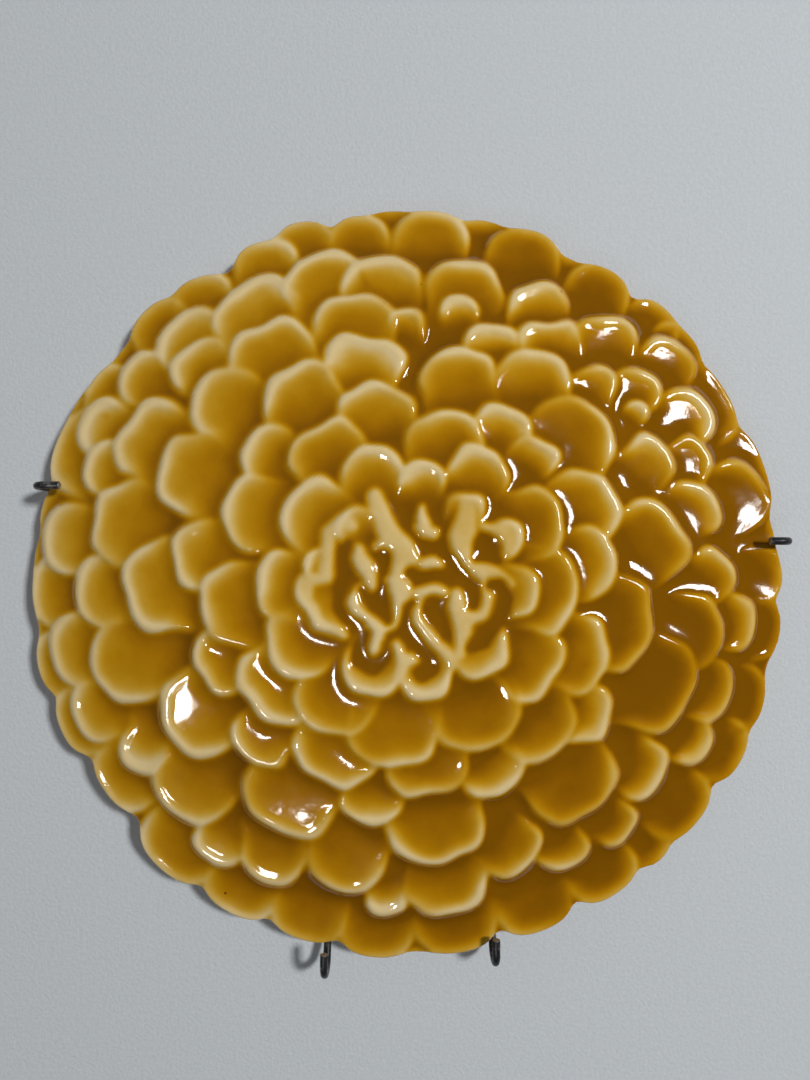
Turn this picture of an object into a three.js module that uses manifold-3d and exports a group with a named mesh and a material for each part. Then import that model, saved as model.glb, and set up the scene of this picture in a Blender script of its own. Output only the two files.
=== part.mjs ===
// A hanging ceramic wall plaque: a shallow dome covered in overlapping flower petals, glazed in
// amber, held at its rim by a sprung wire plate hanger. Millimetres, +Z up, the front faces -Y.
// The wall is the plane y = 0, and the origin is the nail point, under the peak of the upper wire.
import Module from 'manifold-3d';
import * as THREE from 'three';
import { mergeVertices } from 'three/addons/utils/BufferGeometryUtils.js';

// ---------- driving dimensions ----------
const PLAQUE_RADIUS = 125;      // mean reach of the rim petals
const CENTRE_DROP = 92;         // from the nail point down to the middle of the plaque
const WIRE = 2.6;               // hanger wire diameter
const WIRE_OFF_WALL = 2.7;      // middle of the wires behind the plaque, off the wall
const GAP = 0.3;                // clearance between pieces that touch
const FOOT_HEIGHT = WIRE_OFF_WALL + WIRE / 2 + GAP;
const LIP_BACK = FOOT_HEIGHT + 1.55;    // back corner of the rim, off the wall
const LIP_INSET = 0.8;          // how far that corner lies inside the outline
const RIM_HEIGHT = FOOT_HEIGHT + 5.55;  // front of the body at the rim, off the wall
const EDGE_HEIGHT = RIM_HEIGHT - 0.5;   // least height of the front at the outline
const DOME_RISE = 19;           // how much further the middle stands out
const DOME_POWER = 2.2;         // how evenly the dome falls away
const BODY_WALL = 6;            // thickness of the body behind the petals
const FOOT_OUTER = 114.3;
const FOOT_INNER = 108;
const FOOT_SLOPE = 0.8;         // how far the foot's sides lean, each
const SPRING = 6;               // outer diameter of a spring's coils and of its end loops
const SPRING_WIRE = 0.9;
const SPRING_HEIGHT = 3.05;     // axis of a spring, off the wall
const LOOP_SLACK = 0.4;         // from the middle of a wire bend to the middle of the loop round it

// Petal profile: each petal climbs from its root to its tip, and its edge curls up as it goes.
const PETAL_CLIMB = 3.2;        // from root to tip
const PETAL_SINK = 0.9;         // how far a root lies under its row's level
const EDGE_CURL = 1.5;          // extra height of the curled edge
const EDGE_AT = 0.93;           // where the edge is highest, as a share of the way out
const EDGE_ROUND = 0.3;         // flat top of the edge before the drop
const DROP_SLOPE = 1.7;         // steepness of the drop outside the edge
const GROUND = -1.6;            // body surface between petals
const CAP_POWER = 2.4;          // roundness of a petal's tip
const TAIL_POWER = 3;           // roundness of its root
const TAIL_SHARE = 0.85;        // length behind the widest line, as a share of the width

// Petals, row by row from the rim inwards. Each is [bearing of its tip clockwise from the top,
// reach of the tip from the middle, width, length of its rounded cap, turn of its axis].
const PETAL_ROWS = [
  { lift: -1.7, petals: [
    [357.5, 125, 18, 8, 0], [12.5, 124.5, 18, 8, 0], [27, 121.5, 16, 7, 0], [43.5, 127, 20, 9, 0],
    [49, 126.5, 20, 8, 0], [59, 125, 30, 9, 0], [72, 126.5, 34, 11, 0], [83, 124.5, 18, 8, 0],
    [103, 124, 16, 7, 0], [178.5, 124, 16, 7, 0], [263, 124.5, 16, 7, 0], [274, 125.5, 16, 7, 0],
    [281.5, 125.5, 19, 8, 0], [298, 126.5, 18, 8, 0], [309, 123.5, 18, 7, 0]] },
  { lift: -1.1, petals: [
    [4, 124.4, 26, 12, 0], [18.5, 124.5, 26, 12, -12], [32.5, 124.3, 23, 11, -9],
    [49, 120.5, 20, 8, -14], [73.5, 122.8, 26, 11, -21], [88, 125.5, 20, 9, -8],
    [97.5, 126, 22, 9, 0], [108.5, 126, 24, 10, -8], [118, 127, 23, 9, 0],
    [129.5, 126, 27, 11, 0], [137.5, 126, 15, 8, 0], [146, 125.5, 25, 10, 0],
    [158.5, 125, 26, 10, 0], [172, 125, 28, 11, 0], [185, 126, 25, 10, 0],
    [196.5, 124.5, 26, 10, 0], [208.5, 125.5, 26, 10, 0], [221, 126.5, 30, 12, 2],
    [235.5, 122.5, 25, 9, 0], [247, 126, 24, 9, 0], [257, 127, 22, 8, 0], [268.5, 125.5, 24, 9, 0],
    [292, 126.5, 30, 10, 0], [302.5, 125, 20, 8, 0], [316, 126.5, 22, 9, 0],
    [325.5, 123.7, 21, 8, 18], [337, 123.8, 22, 9, 12], [344, 125.7, 20, 9, 13],
    [352.5, 123.5, 20, 10, 5]] },
  { lift: -0.3, petals: [
    [58.5, 115.3, 20, 9, -10], [97, 115.5, 19, 8, 0], [109.5, 112.5, 22, 9, 0],
    [119, 113.5, 16, 8, 0], [216, 112, 18, 8, 0], [247.5, 119, 21, 9, 0], [258.5, 120.5, 25, 11, 0],
    [277, 122, 24, 11, -5], [297.5, 120.5, 20, 8, 5], [307.5, 117.5, 19, 9, -5],
    [318.5, 116, 24, 9, 2], [290.5, 113, 18, 8, -5], [330.5, 112, 29, 10, -4],
    [343, 112, 27, 12, -12], [355.5, 107, 26, 9, 4], [9.5, 107.3, 25, 12, -12],
    [23, 106.5, 20, 8, -30], [37, 109.5, 20, 8, -35], [49, 104.5, 17, 8, -12],
    [65, 106.5, 17, 8, -22], [73.5, 103.5, 20, 9, -22], [86.5, 105.8, 19, 9, -26],
    [98.5, 104, 26, 12, -8], [127, 105, 21, 9, -14], [138, 109.5, 16, 7, -20],
    [149.5, 107, 17, 8, 0], [157, 100, 22, 10, -20], [172, 109.5, 27, 11, -4],
    [183, 108.5, 14, 8, -15], [192.5, 102.5, 27, 14, 0], [204, 108, 22, 14, -22],
    [226, 107.5, 28, 13, -6], [235.5, 108.5, 17, 12, -32], [252, 105.5, 29, 14, -18],
    [267.5, 108.5, 24, 11, -10], [281, 104.7, 28, 13, -8], [300, 105.5, 28, 9, 5],
    [316.5, 105, 21, 7, 2]] },
  { lift: 0, petals: [
    [331, 96.5, 29, 11, 12], [350.5, 94.5, 27, 10, 14], [10.5, 94.5, 12, 6, -6],
    [28, 96, 20, 6, -36], [17.5, 87.3, 16, 5, -23], [0, 88, 12, 6, 0], [42, 93.5, 15, 7, -20],
    [53, 96, 9, 5, -15], [61.5, 94.5, 19, 12, -20], [77, 89.5, 29, 12, -21],
    [111.5, 99, 34, 15, -2], [140, 94.7, 32, 13, 0], [173, 90.5, 32, 13, -2],
    [209.5, 90, 32, 13, 2], [238, 90.5, 29, 12, 0], [268.5, 91, 30, 13, -6],
    [295.5, 88.3, 27, 12, -13], [314, 93, 25, 13, -8]] },
  { lift: 0.2, petals: [
    [332, 79, 26, 12, 7], [350.5, 80, 25, 8, 16], [11, 76.5, 25, 13, -20], [29.5, 86, 24, 10, -18],
    [47, 82.5, 30, 14, -8], [63.5, 71, 25, 11, -16], [101, 79, 32, 12, 2],
    [124.5, 77.5, 20, 9, -14], [136.5, 71, 27, 12, -2], [154, 72.5, 21, 9, -10],
    [189.5, 76.8, 19, 8, 0], [222.5, 75, 20, 8, -8], [248, 71.8, 22, 9, 0], [277, 74.5, 23, 8, -6],
    [173, 67, 26, 10, -4], [203.5, 67.5, 28, 12, 0], [111.5, 67.5, 26, 11, -4],
    [82, 66, 23, 9, -6], [312, 68, 19, 8, -10]] },
  { lift: 0.3, petals: [
    [292, 62.2, 24, 10, -18], [328.5, 58, 25, 10, 0], [351, 64, 24, 8, 9], [12, 56, 25, 11, -14],
    [30.5, 64.5, 18, 7, -6], [44, 62.3, 15, 6, -11], [65, 53, 24, 10, 8], [91.5, 53.5, 28, 12, 0],
    [123.5, 55.5, 25, 11, 4], [151, 57, 29, 13, 0], [186, 57.5, 30, 13, 0],
    [212.5, 53.5, 26, 12, 0], [233, 62.5, 28, 11, 0], [263, 65.7, 27, 12, -2]] },
  { lift: 0.5, petals: [
    [240.5, 48.5, 23, 11, -4], [269.5, 47.5, 22, 10, 0], [307, 46, 24, 10, -1],
    [345, 45.5, 20, 11, 8], [29.5, 49.8, 19, 11, -12], [201, 36.8, 19, 13, -6],
    [168, 36.5, 18, 12, 0], [134, 38.5, 19, 10, 12], [93, 41, 18, 12, 0], [66, 39, 12, 7, 10],
    [35, 35, 13, 9, -15], [11, 26, 8, 8, 0], [341, 32, 9, 9, -5], [318, 29.7, 14, 8, -5],
    [281, 32.6, 9, 5, -20], [254, 33.2, 22, 10, -20], [8, 38.5, 15, 6, 0]] },
  { lift: 0.4, petals: [
    [209, 22.8, 7, 6, -9], [180, 24, 9, 5, -30], [257, 18.4, 14, 5, -20], [310, 18.5, 8, 5, 30],
    [93, 17, 8, 5, -60], [41, 12, 7, 4, -40], [340, 11.7, 7, 5, 0]] },
];
const RIM_ROWS = 2;             // the rows whose petals make the scalloped outline

// Hanger: where each hook grips the rim, as a bearing, and the corners of the wires behind.
const HOOKS = {
  left: { bearing: 285, out: [-1, 0], bend: 2.4, tip: 6.5 },
  right: { bearing: 83.6, out: [1, 0], bend: 2, tip: 5.7 },
  lowerLeft: { bearing: 192.7, out: [0, -1], bend: 9, tip: -0.5 },
  lowerRight: { bearing: 166.1, out: [0, -1], bend: 7.5, tip: 1.6 },
};
const HOOK_HEIGHT = FOOT_HEIGHT + 14.35;   // front leg of a hook, off the wall
const HOOK_SLOPE = 28;          // degrees that the carrying leg leans off the wall
const HOOK_BEND = 4.5;
const SEAT_BEND = 3;            // where the carrying leg meets the wall side
const EYE_ACROSS = 44;          // the bends that the springs pull on, from the middle
const EYE_UP = 12;
const LOWER_EYE_ACROSS = 30;
const LOWER_EYE_DOWN = 50;
const DIP_DOWN = 80;            // lowest point of the lower wire between its eyes
const EYE_BEND = 3;
const PEAK_BEND = 4;
const DIP_BEND = 8;

const colour = { glaze: 0xa87416, wire: 0x2b2b2d, spring: 0x3a3a3c };
const glaze = new THREE.MeshStandardMaterial({ color: colour.glaze, roughness: 0.15, metalness: 0 });
const wireMetal = new THREE.MeshStandardMaterial({ color: colour.wire, roughness: 0.4, metalness: 0.9 });
const springMetal = new THREE.MeshStandardMaterial({ color: colour.spring, roughness: 0.35, metalness: 0.9 });

const radians = THREE.MathUtils.degToRad;

// ---------- petals ----------

/** The petal's own axes: the middle of its widest line, its direction, and its half sizes. */
function petalFrame([bearing, reach, width, cap, turn]) {
  const tip = [reach * Math.sin(radians(bearing)), reach * Math.cos(radians(bearing))];
  const along = [Math.sin(radians(bearing + turn)), Math.cos(radians(bearing + turn))];
  return {
    across: [along[1], -along[0]],
    along,
    cap,
    half: width / 2,
    middle: [tip[0] - cap * along[0], tip[1] - cap * along[1]],
    tail: width * TAIL_SHARE,
  };
}

const ROWS = PETAL_ROWS.map(({ lift, petals }) => ({ lift, petals: petals.map(petalFrame) }));
const PETALS = ROWS.flatMap(({ lift, petals }) => petals.map((petal) => ({ ...petal, lift })));

/** How far out of a petal a point is (1 on its outline), and how far from its root to its tip. */
function petalPlace(petal, x, z) {
  const dx = x - petal.middle[0];
  const dz = z - petal.middle[1];
  const forward = dx * petal.along[0] + dz * petal.along[1];
  const sideways = Math.abs(dx * petal.across[0] + dz * petal.across[1]) / petal.half;
  const reach = Math.abs(forward) / (forward > 0 ? petal.cap : petal.tail);
  const power = forward > 0 ? CAP_POWER : TAIL_POWER;
  return {
    out: (sideways ** power + reach ** power) ** (1 / power),
    up: (forward + petal.tail) / (petal.cap + petal.tail),
  };
}

/** Height of one petal over the dome: a climb to the tip, a curled edge, and a steep drop. */
function petalHeight(petal, x, z) {
  const { out, up } = petalPlace(petal, x, z);
  if (up < -0.2 || out > 2.2) return GROUND;
  const climb = PETAL_CLIMB * THREE.MathUtils.clamp(up, 0, 1) - PETAL_SINK;
  const curl = EDGE_CURL * THREE.MathUtils.smoothstep(up, 0.15, 0.7) * Math.min(out / EDGE_AT, 1) ** 3;
  const beyond = Math.max(out - EDGE_AT, 0) * Math.min(petal.half, petal.cap);
  return petal.lift + climb + curl - DROP_SLOPE * Math.max(beyond - EDGE_ROUND, 0) - 0.25 * beyond;
}

/** Height of the whole relief over the dome: the highest petal at each point. */
function reliefHeight(x, z) {
  return PETALS.reduce((height, petal) => {
    const near = Math.abs(x - petal.middle[0]) < 60 && Math.abs(z - petal.middle[1]) < 60;
    return near ? Math.max(height, petalHeight(petal, x, z)) : height;
  }, GROUND);
}

const domeHeight = (r) => RIM_HEIGHT + DOME_RISE * (1 - (r / PLAQUE_RADIUS) ** DOME_POWER);
const frontHeight = (x, z) => domeHeight(Math.hypot(x, z)) + reliefHeight(x, z);

// ---------- scalloped outline ----------
const NOTCH_FLOOR = 119.5;      // the deepest that a notch between two rim petals can be
const OUTLINE_STEPS = 360;

/** Reach of the rim petals along one bearing, found by stepping inwards. */
function unionReach(bearing) {
  const sine = Math.sin(radians(bearing));
  const cosine = Math.cos(radians(bearing));
  const rim = ROWS.slice(0, RIM_ROWS).flatMap(({ petals }) => petals);
  for (let r = PLAQUE_RADIUS + 4; r > NOTCH_FLOOR; r -= 0.1) {
    if (rim.some((petal) => petalPlace(petal, r * sine, r * cosine).out < 1)) return r;
  }
  return NOTCH_FLOOR;
}

const reaches = Array.from({ length: OUTLINE_STEPS }, (_, i) => unionReach(i * 360 / OUTLINE_STEPS));
const softReaches = reaches.map((reach, i) => {
  const before = reaches.at(i - 1);
  const after = reaches[(i + 1) % OUTLINE_STEPS];
  return (before + 2 * reach + after) / 4;
});

/** Radius of the outline at a bearing in degrees. */
function outline(bearing) {
  const place = ((bearing % 360) + 360) % 360 * OUTLINE_STEPS / 360;
  const low = Math.floor(place);
  const from = softReaches[low % OUTLINE_STEPS];
  const to = softReaches[(low + 1) % OUTLINE_STEPS];
  return THREE.MathUtils.lerp(from, to, place - low);
}

const bearingOf = (x, z) => THREE.MathUtils.radToDeg(Math.atan2(x, z));

// ---------- points of the front surface ----------
const EDGE_STEP = 4;            // spacing along a petal's edge
const ARC_PAST = 35;            // degrees that the edge runs on past a petal's widest line
const FOOT_OUT = 1.7;           // from the top of an edge to the foot of its drop
const CLOSEST = 1.5;            // no two points lie closer
const RIM_CLEAR = 1.4;          // and none is this close to the outline
const FILL_STEP = 8;            // spacing of the points on plain stretches
const RIM_POINTS = 144;

/** A point on a petal's superellipse at a share of the way out, for an angle from its side. */
function petalPoint(petal, angle, share) {
  const sine = Math.sin(angle);
  const power = 2 / (sine > 0 ? CAP_POWER : TAIL_POWER);
  const sideways = Math.sign(Math.cos(angle)) * Math.abs(Math.cos(angle)) ** power * petal.half * share;
  const forward = sine > 0
    ? Math.abs(sine) ** power * petal.cap * share
    : -(Math.abs(sine) ** power) * petal.tail * share;
  return [
    petal.middle[0] + sideways * petal.across[0] + forward * petal.along[0],
    petal.middle[1] + sideways * petal.across[1] + forward * petal.along[1],
  ];
}

/** Points around one petal at a share of the way out, from one side over the tip to the other. */
function petalArc(petal, share, step) {
  const from = radians(-ARC_PAST);
  const to = radians(180 + ARC_PAST);
  const count = Math.max(4, Math.round((petal.half + petal.cap) * 2.1 / step));
  return Array.from({ length: count + 1 }, (_, i) => {
    const angle = from + (to - from) * i / count;
    return petalPoint(petal, angle, share);
  });
}

const points = [];

/** Keeps a point if it lies inside the rim and clear of the points already kept. */
function keepPoint([x, z]) {
  const clear = outline(bearingOf(x, z)) - Math.hypot(x, z) > RIM_CLEAR;
  if (clear && points.every(([px, pz]) => Math.hypot(px - x, pz - z) > CLOSEST)) points.push([x, z]);
}

const shows = (petal, [x, z]) => petalHeight(petal, x, z) > reliefHeight(x, z) - 0.2;

PETALS.forEach((petal) => petalArc(petal, EDGE_AT, EDGE_STEP)
  .filter((point) => shows(petal, point))
  .forEach(keepPoint));
PETALS.forEach((petal) => {
  const footShare = EDGE_AT + FOOT_OUT / Math.min(petal.half, petal.cap);
  petalArc(petal, footShare, EDGE_STEP)
    .filter(([x, z]) => petalHeight(petal, x, z) > reliefHeight(x, z) - 1.5)
    .forEach(keepPoint);
});
PETALS.forEach((petal) => petalArc(petal, 0.5, 1.6 * EDGE_STEP)
  .filter((point) => shows(petal, point))
  .forEach(keepPoint));
for (let x = -PLAQUE_RADIUS; x <= PLAQUE_RADIUS; x += FILL_STEP) {
  for (let z = -PLAQUE_RADIUS; z <= PLAQUE_RADIUS; z += FILL_STEP) {
    const lonely = points.every(([px, pz]) => Math.hypot(px - x, pz - z) > FILL_STEP / 2);
    if (lonely) keepPoint([x, z]);
  }
}
const INNER_POINTS = points.length;
for (let i = 0; i < RIM_POINTS; i += 1) {
  const bearing = 90 - i * 360 / RIM_POINTS;
  const r = outline(bearing);
  points.push([r * Math.sin(radians(bearing)), r * Math.cos(radians(bearing))]);
}

// ---------- Delaunay triangles of the front, in a disc of radius one ----------

/** Centre and squared radius of the circle through three points. */
function circleThrough(a, b, c) {
  const bx = b[0] - a[0];
  const by = b[1] - a[1];
  const cx = c[0] - a[0];
  const cy = c[1] - a[1];
  const twist = 2 * (bx * cy - by * cx);
  const ux = (cy * (bx * bx + by * by) - by * (cx * cx + cy * cy)) / twist;
  const uy = (bx * (cx * cx + cy * cy) - cx * (bx * bx + by * by)) / twist;
  return { x: a[0] + ux, y: a[1] + uy, r2: ux * ux + uy * uy };
}

/** Bowyer and Watson's method: each new point replaces the triangles whose circle it lies in. */
function triangulate(sites) {
  const far = 1e3;
  const all = [...sites, [-far, -far], [far, -far], [0, far]];
  const n = sites.length;
  const make = (a, b, c) => ({ a, b, c, circle: circleThrough(all[a], all[b], all[c]) });
  let triangles = [make(n, n + 1, n + 2)];
  sites.forEach(([x, y], index) => {
    const edges = new Map();
    const kept = [];
    triangles.forEach((triangle) => {
      const { circle, a, b, c } = triangle;
      const inside = (x - circle.x) ** 2 + (y - circle.y) ** 2 < circle.r2;
      if (!inside) {
        kept.push(triangle);
        return;
      }
      [[a, b], [b, c], [c, a]].forEach(([p, q]) => {
        const twin = `${q},${p}`;
        if (edges.has(twin)) edges.delete(twin);
        else edges.set(`${p},${q}`, [p, q]);
      });
    });
    edges.forEach(([p, q]) => kept.push(make(p, q, index)));
    triangles = kept;
  });
  return triangles.filter(({ a, b, c }) => Math.max(a, b, c) < n).map(({ a, b, c }) => [a, b, c]);
}

const frontTriangles = triangulate(points.map(([x, z]) => {
  const r = outline(bearingOf(x, z));
  return [x / r, z / r];
}));

// ---------- the plaque's closed body ----------
const BACK_POINTS = RIM_POINTS / 2;

/** One ring of the back: a radius for each bearing and a height off the wall. */
function ring(count, radius, height) {
  return Array.from({ length: count }, (_, i) => {
    const bearing = 90 - i * 360 / count;
    const r = radius(bearing);
    return [r * Math.sin(radians(bearing)), height, r * Math.cos(radians(bearing))];
  });
}

function plaqueGeometry() {
  const vertices = points.map(([x, z], i) => {
    const height = frontHeight(x, z);
    return [x, i < INNER_POINTS ? height : Math.max(height, EDGE_HEIGHT), z];
  });
  const triangles = [...frontTriangles];
  let outer = Array.from({ length: RIM_POINTS }, (_, i) => INNER_POINTS + i);

  const join = (inner) => {
    const start = vertices.length;
    vertices.push(...inner);
    const next = inner.map((_, i) => start + i);
    const fine = outer.length / next.length;
    next.forEach((b0, j) => {
      const b1 = next[(j + 1) % next.length];
      const first = outer[j * fine];
      const last = outer[(j + 1) * fine % outer.length];
      const turn = fine === 2 ? outer[j * fine + 1] : last;
      triangles.push([first, b0, turn], [turn, b0, b1]);
      if (fine === 2) triangles.push([turn, b1, last]);
    });
    outer = next;
  };

  const bodyBack = (r) => domeHeight(r) - BODY_WALL;
  const at = (r) => () => r;
  join(ring(RIM_POINTS, outline, (EDGE_HEIGHT + LIP_BACK) / 2));
  join(ring(RIM_POINTS, (b) => outline(b) - LIP_INSET, LIP_BACK));
  join(ring(BACK_POINTS, at(FOOT_OUTER + FOOT_SLOPE), bodyBack(FOOT_OUTER)));
  join(ring(BACK_POINTS, at(FOOT_OUTER), FOOT_HEIGHT));
  join(ring(BACK_POINTS, at(FOOT_INNER), FOOT_HEIGHT));
  [FOOT_INNER - FOOT_SLOPE, 90, 70, 45, 20].forEach((r) => {
    join(ring(BACK_POINTS, at(r), bodyBack(r)));
  });
  const centre = vertices.length;
  vertices.push([0, bodyBack(0), 0]);
  outer.forEach((a, i) => triangles.push([a, centre, outer[(i + 1) % outer.length]]));

  const geometry = new THREE.BufferGeometry();
  const positions = vertices.flatMap(([x, height, z]) => [x, -height, z]);
  geometry.setAttribute('position', new THREE.Float32BufferAttribute(positions, 3));
  geometry.setIndex(triangles.flat());
  geometry.computeVertexNormals();
  return geometry;
}

// ---------- hanger wires ----------
const place = (x, height, z) => new THREE.Vector3(x, -height, z);

/** A path through corners, each rounded to its own radius by short chords. */
function roundedPath(corners) {
  const path = [corners[0].at];
  for (let i = 1; i < corners.length - 1; i += 1) {
    const { at, bend } = corners[i];
    const back = corners[i - 1].at.clone().sub(at).normalize();
    const on = corners[i + 1].at.clone().sub(at).normalize();
    const half = back.angleTo(on) / 2;
    const middle = back.clone().add(on).normalize().multiplyScalar(bend / Math.sin(half)).add(at);
    const from = back.multiplyScalar(bend / Math.tan(half)).add(at).sub(middle);
    const to = on.multiplyScalar(bend / Math.tan(half)).add(at).sub(middle);
    const axis = from.clone().cross(to).normalize();
    const sweep = from.angleTo(to);
    const chords = Math.max(2, Math.ceil(sweep / radians(24)));
    for (let k = 0; k <= chords; k += 1) {
      path.push(from.clone().applyAxisAngle(axis, sweep * k / chords).add(middle));
    }
  }
  path.push(corners.at(-1).at);
  return path;
}

/** A solid round wire with one section at each point of its path. */
function wireGeometry(path, diameter, sides) {
  const section = new THREE.Shape(Array.from({ length: sides }, (_, i) => new THREE.Vector2(
    diameter / 2 * Math.cos(2 * Math.PI * i / sides),
    diameter / 2 * Math.sin(2 * Math.PI * i / sides),
  )));
  const curve = new THREE.CatmullRomCurve3(path, false, 'centripetal');
  curve.getUtoTmapping = (u) => u;
  const steps = path.length - 1;
  return new THREE.ExtrudeGeometry(section, { steps, bevelEnabled: false, extrudePath: curve });
}

/** Corners of one hook from its tip round the rim to the wall, where the wire runs on. */
function hookCorners({ bearing, out, bend, tip }) {
  const rim = outline(bearing);
  const seat = [rim * Math.sin(radians(bearing)), rim * Math.cos(radians(bearing))];
  const slope = Math.tan(radians(HOOK_SLOPE));
  const touch = WIRE / 2 + GAP;
  const carryAt = touch * Math.sin(radians(HOOK_SLOPE)) - LIP_INSET;
  const carryHeight = LIP_BACK - touch * Math.cos(radians(HOOK_SLOPE));
  const hookCorner = (beyond, height, radius) => ({
    at: place(seat[0] + out[0] * beyond, height, seat[1] + out[1] * beyond),
    bend: radius,
  });
  return [
    hookCorner(-tip, HOOK_HEIGHT, 0),
    hookCorner(bend, HOOK_HEIGHT, HOOK_BEND),
    hookCorner(bend, carryHeight + (bend - carryAt) * slope, HOOK_BEND),
    hookCorner(carryAt - (carryHeight - WIRE_OFF_WALL) / slope, WIRE_OFF_WALL, SEAT_BEND),
  ];
}

const corner = (x, z, bend) => ({ at: place(x, WIRE_OFF_WALL, z), bend });

/** Height of the sharp peak whose rounded underside is the nail point. */
function peakCorner() {
  let peak = CENTRE_DROP;
  for (let pass = 0; pass < 8; pass += 1) {
    const half = Math.atan2(EYE_ACROSS, peak - EYE_UP);
    peak = CENTRE_DROP + WIRE / 2 + PEAK_BEND * (1 / Math.sin(half) - 1);
  }
  return peak;
}

const upperCorners = [
  ...hookCorners(HOOKS.left),
  corner(-EYE_ACROSS, EYE_UP, EYE_BEND),
  corner(0, peakCorner(), PEAK_BEND),
  corner(EYE_ACROSS, EYE_UP, EYE_BEND),
  ...hookCorners(HOOKS.right).reverse(),
];
const lowerCorners = [
  ...hookCorners(HOOKS.lowerLeft),
  corner(-LOWER_EYE_ACROSS, -LOWER_EYE_DOWN, EYE_BEND),
  corner(0, -DIP_DOWN, DIP_BEND),
  corner(LOWER_EYE_ACROSS, -LOWER_EYE_DOWN, EYE_BEND),
  ...hookCorners(HOOKS.lowerRight).reverse(),
];
const LEFT_EYE = 4;             // place of the left and right eyes in both lists of corners
const RIGHT_EYE = 6;

/** Where the middle of a rounded bend lies on the wire's own centre line. */
function bendMiddle(corners, i) {
  const { at, bend } = corners[i];
  const back = corners[i - 1].at.clone().sub(at).normalize();
  const on = corners[i + 1].at.clone().sub(at).normalize();
  const half = back.angleTo(on) / 2;
  return back.add(on).normalize().multiplyScalar(bend / Math.sin(half) - bend).add(at);
}

// ---------- springs ----------
const wasm = await Module();
wasm.setup();

/** A closed mesh as a solid that can be joined to others. */
function solidFrom(geometry) {
  const bare = geometry.clone();
  bare.deleteAttribute('normal');
  bare.deleteAttribute('uv');
  const merged = mergeVertices(bare);
  return new wasm.Manifold(new wasm.Mesh({
    numProp: 3,
    vertProperties: merged.attributes.position.array,
    triVerts: new Uint32Array(merged.index.array),
  }));
}

/** Several closed meshes that overlap, joined into one. */
function joined(geometries) {
  const whole = geometries.map(solidFrom).reduce((sum, solid) => sum.add(solid));
  const { vertProperties, triVerts } = whole.getMesh();
  const geometry = new THREE.BufferGeometry();
  geometry.setAttribute('position', new THREE.Float32BufferAttribute(vertProperties, 3));
  geometry.setIndex([...triVerts]);
  geometry.computeVertexNormals();
  return geometry;
}

/** A spring: its coils as one closed cylinder, and a loop at each end round a bend of the wires. */
function springGeometry(eyeIndex) {
  const level = new THREE.Vector3(0, WIRE_OFF_WALL - SPRING_HEIGHT, 0);
  const from = bendMiddle(upperCorners, eyeIndex).add(level);
  const to = bendMiddle(lowerCorners, eyeIndex).add(level);
  const along = to.clone().sub(from).normalize();
  from.addScaledVector(along, LOOP_SLACK);
  to.addScaledVector(along, -LOOP_SLACK);

  const loopRadius = (SPRING - SPRING_WIRE) / 2;
  const loopAxis = along.clone().cross(new THREE.Vector3(0, 1, 0)).normalize();
  const facing = new THREE.Quaternion().setFromUnitVectors(new THREE.Vector3(0, 0, 1), loopAxis);
  const loopAt = (centre) => new THREE.TorusGeometry(loopRadius, SPRING_WIRE / 2, 6, 12)
    .applyQuaternion(facing)
    .translate(centre.x, centre.y, centre.z);

  const length = from.distanceTo(to) - 2 * (loopRadius - SPRING_WIRE / 4);
  const middle = from.clone().lerp(to, 0.5);
  const lying = new THREE.Quaternion().setFromUnitVectors(new THREE.Vector3(0, 1, 0), along);
  const coils = new THREE.CylinderGeometry(SPRING / 2, SPRING / 2, length, 12)
    .applyQuaternion(lying)
    .translate(middle.x, middle.y, middle.z);
  return joined([coils, loopAt(from), loopAt(to)]);
}

// ---------- the object ----------
const group = new THREE.Group();

function addPiece(name, geometry, material) {
  const mesh = new THREE.Mesh(geometry, material);
  mesh.name = name;
  mesh.position.z = -CENTRE_DROP;
  group.add(mesh);
}

addPiece('plaque', plaqueGeometry(), glaze);
addPiece('upper_hanger_wire', wireGeometry(roundedPath(upperCorners), WIRE, 8), wireMetal);
addPiece('lower_hanger_wire', wireGeometry(roundedPath(lowerCorners), WIRE, 8), wireMetal);
addPiece('left_spring', springGeometry(LEFT_EYE), springMetal);
addPiece('right_spring', springGeometry(RIGHT_EYE), springMetal);

export default group;
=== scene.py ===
"""A hanging ceramic wall plaque: its glazed flower relief, its wire plate hanger and a studio.

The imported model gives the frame: +Z is up, the front faces -Y, the wall is the plane y = 0, and the
origin is the nail point under the peak of the upper wire. The relief is worked out in millimetres,
and every mesh is written in metres.
"""
import logging
import math
from dataclasses import dataclass, field
from enum import Enum
from functools import cached_property

import bpy
import numpy as np
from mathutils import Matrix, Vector


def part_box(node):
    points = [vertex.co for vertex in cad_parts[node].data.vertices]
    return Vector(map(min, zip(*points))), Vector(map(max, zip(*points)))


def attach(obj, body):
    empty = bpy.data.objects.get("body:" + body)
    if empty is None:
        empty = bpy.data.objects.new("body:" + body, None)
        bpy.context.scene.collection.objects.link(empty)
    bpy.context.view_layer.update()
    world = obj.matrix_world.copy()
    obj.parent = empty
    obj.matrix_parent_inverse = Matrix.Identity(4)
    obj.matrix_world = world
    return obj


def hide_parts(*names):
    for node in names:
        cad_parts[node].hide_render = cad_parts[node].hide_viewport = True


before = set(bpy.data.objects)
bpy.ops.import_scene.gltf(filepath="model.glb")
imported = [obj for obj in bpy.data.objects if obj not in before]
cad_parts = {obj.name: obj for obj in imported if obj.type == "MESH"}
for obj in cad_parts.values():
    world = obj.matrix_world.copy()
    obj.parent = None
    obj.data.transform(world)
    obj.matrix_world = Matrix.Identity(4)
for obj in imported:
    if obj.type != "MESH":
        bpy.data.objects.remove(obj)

LOG = logging.getLogger("plaque")
MM = 0.001
NAIL_TO_MIDDLE = 92.0   # from the nail point down to the middle of the plaque, in millimetres

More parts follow.
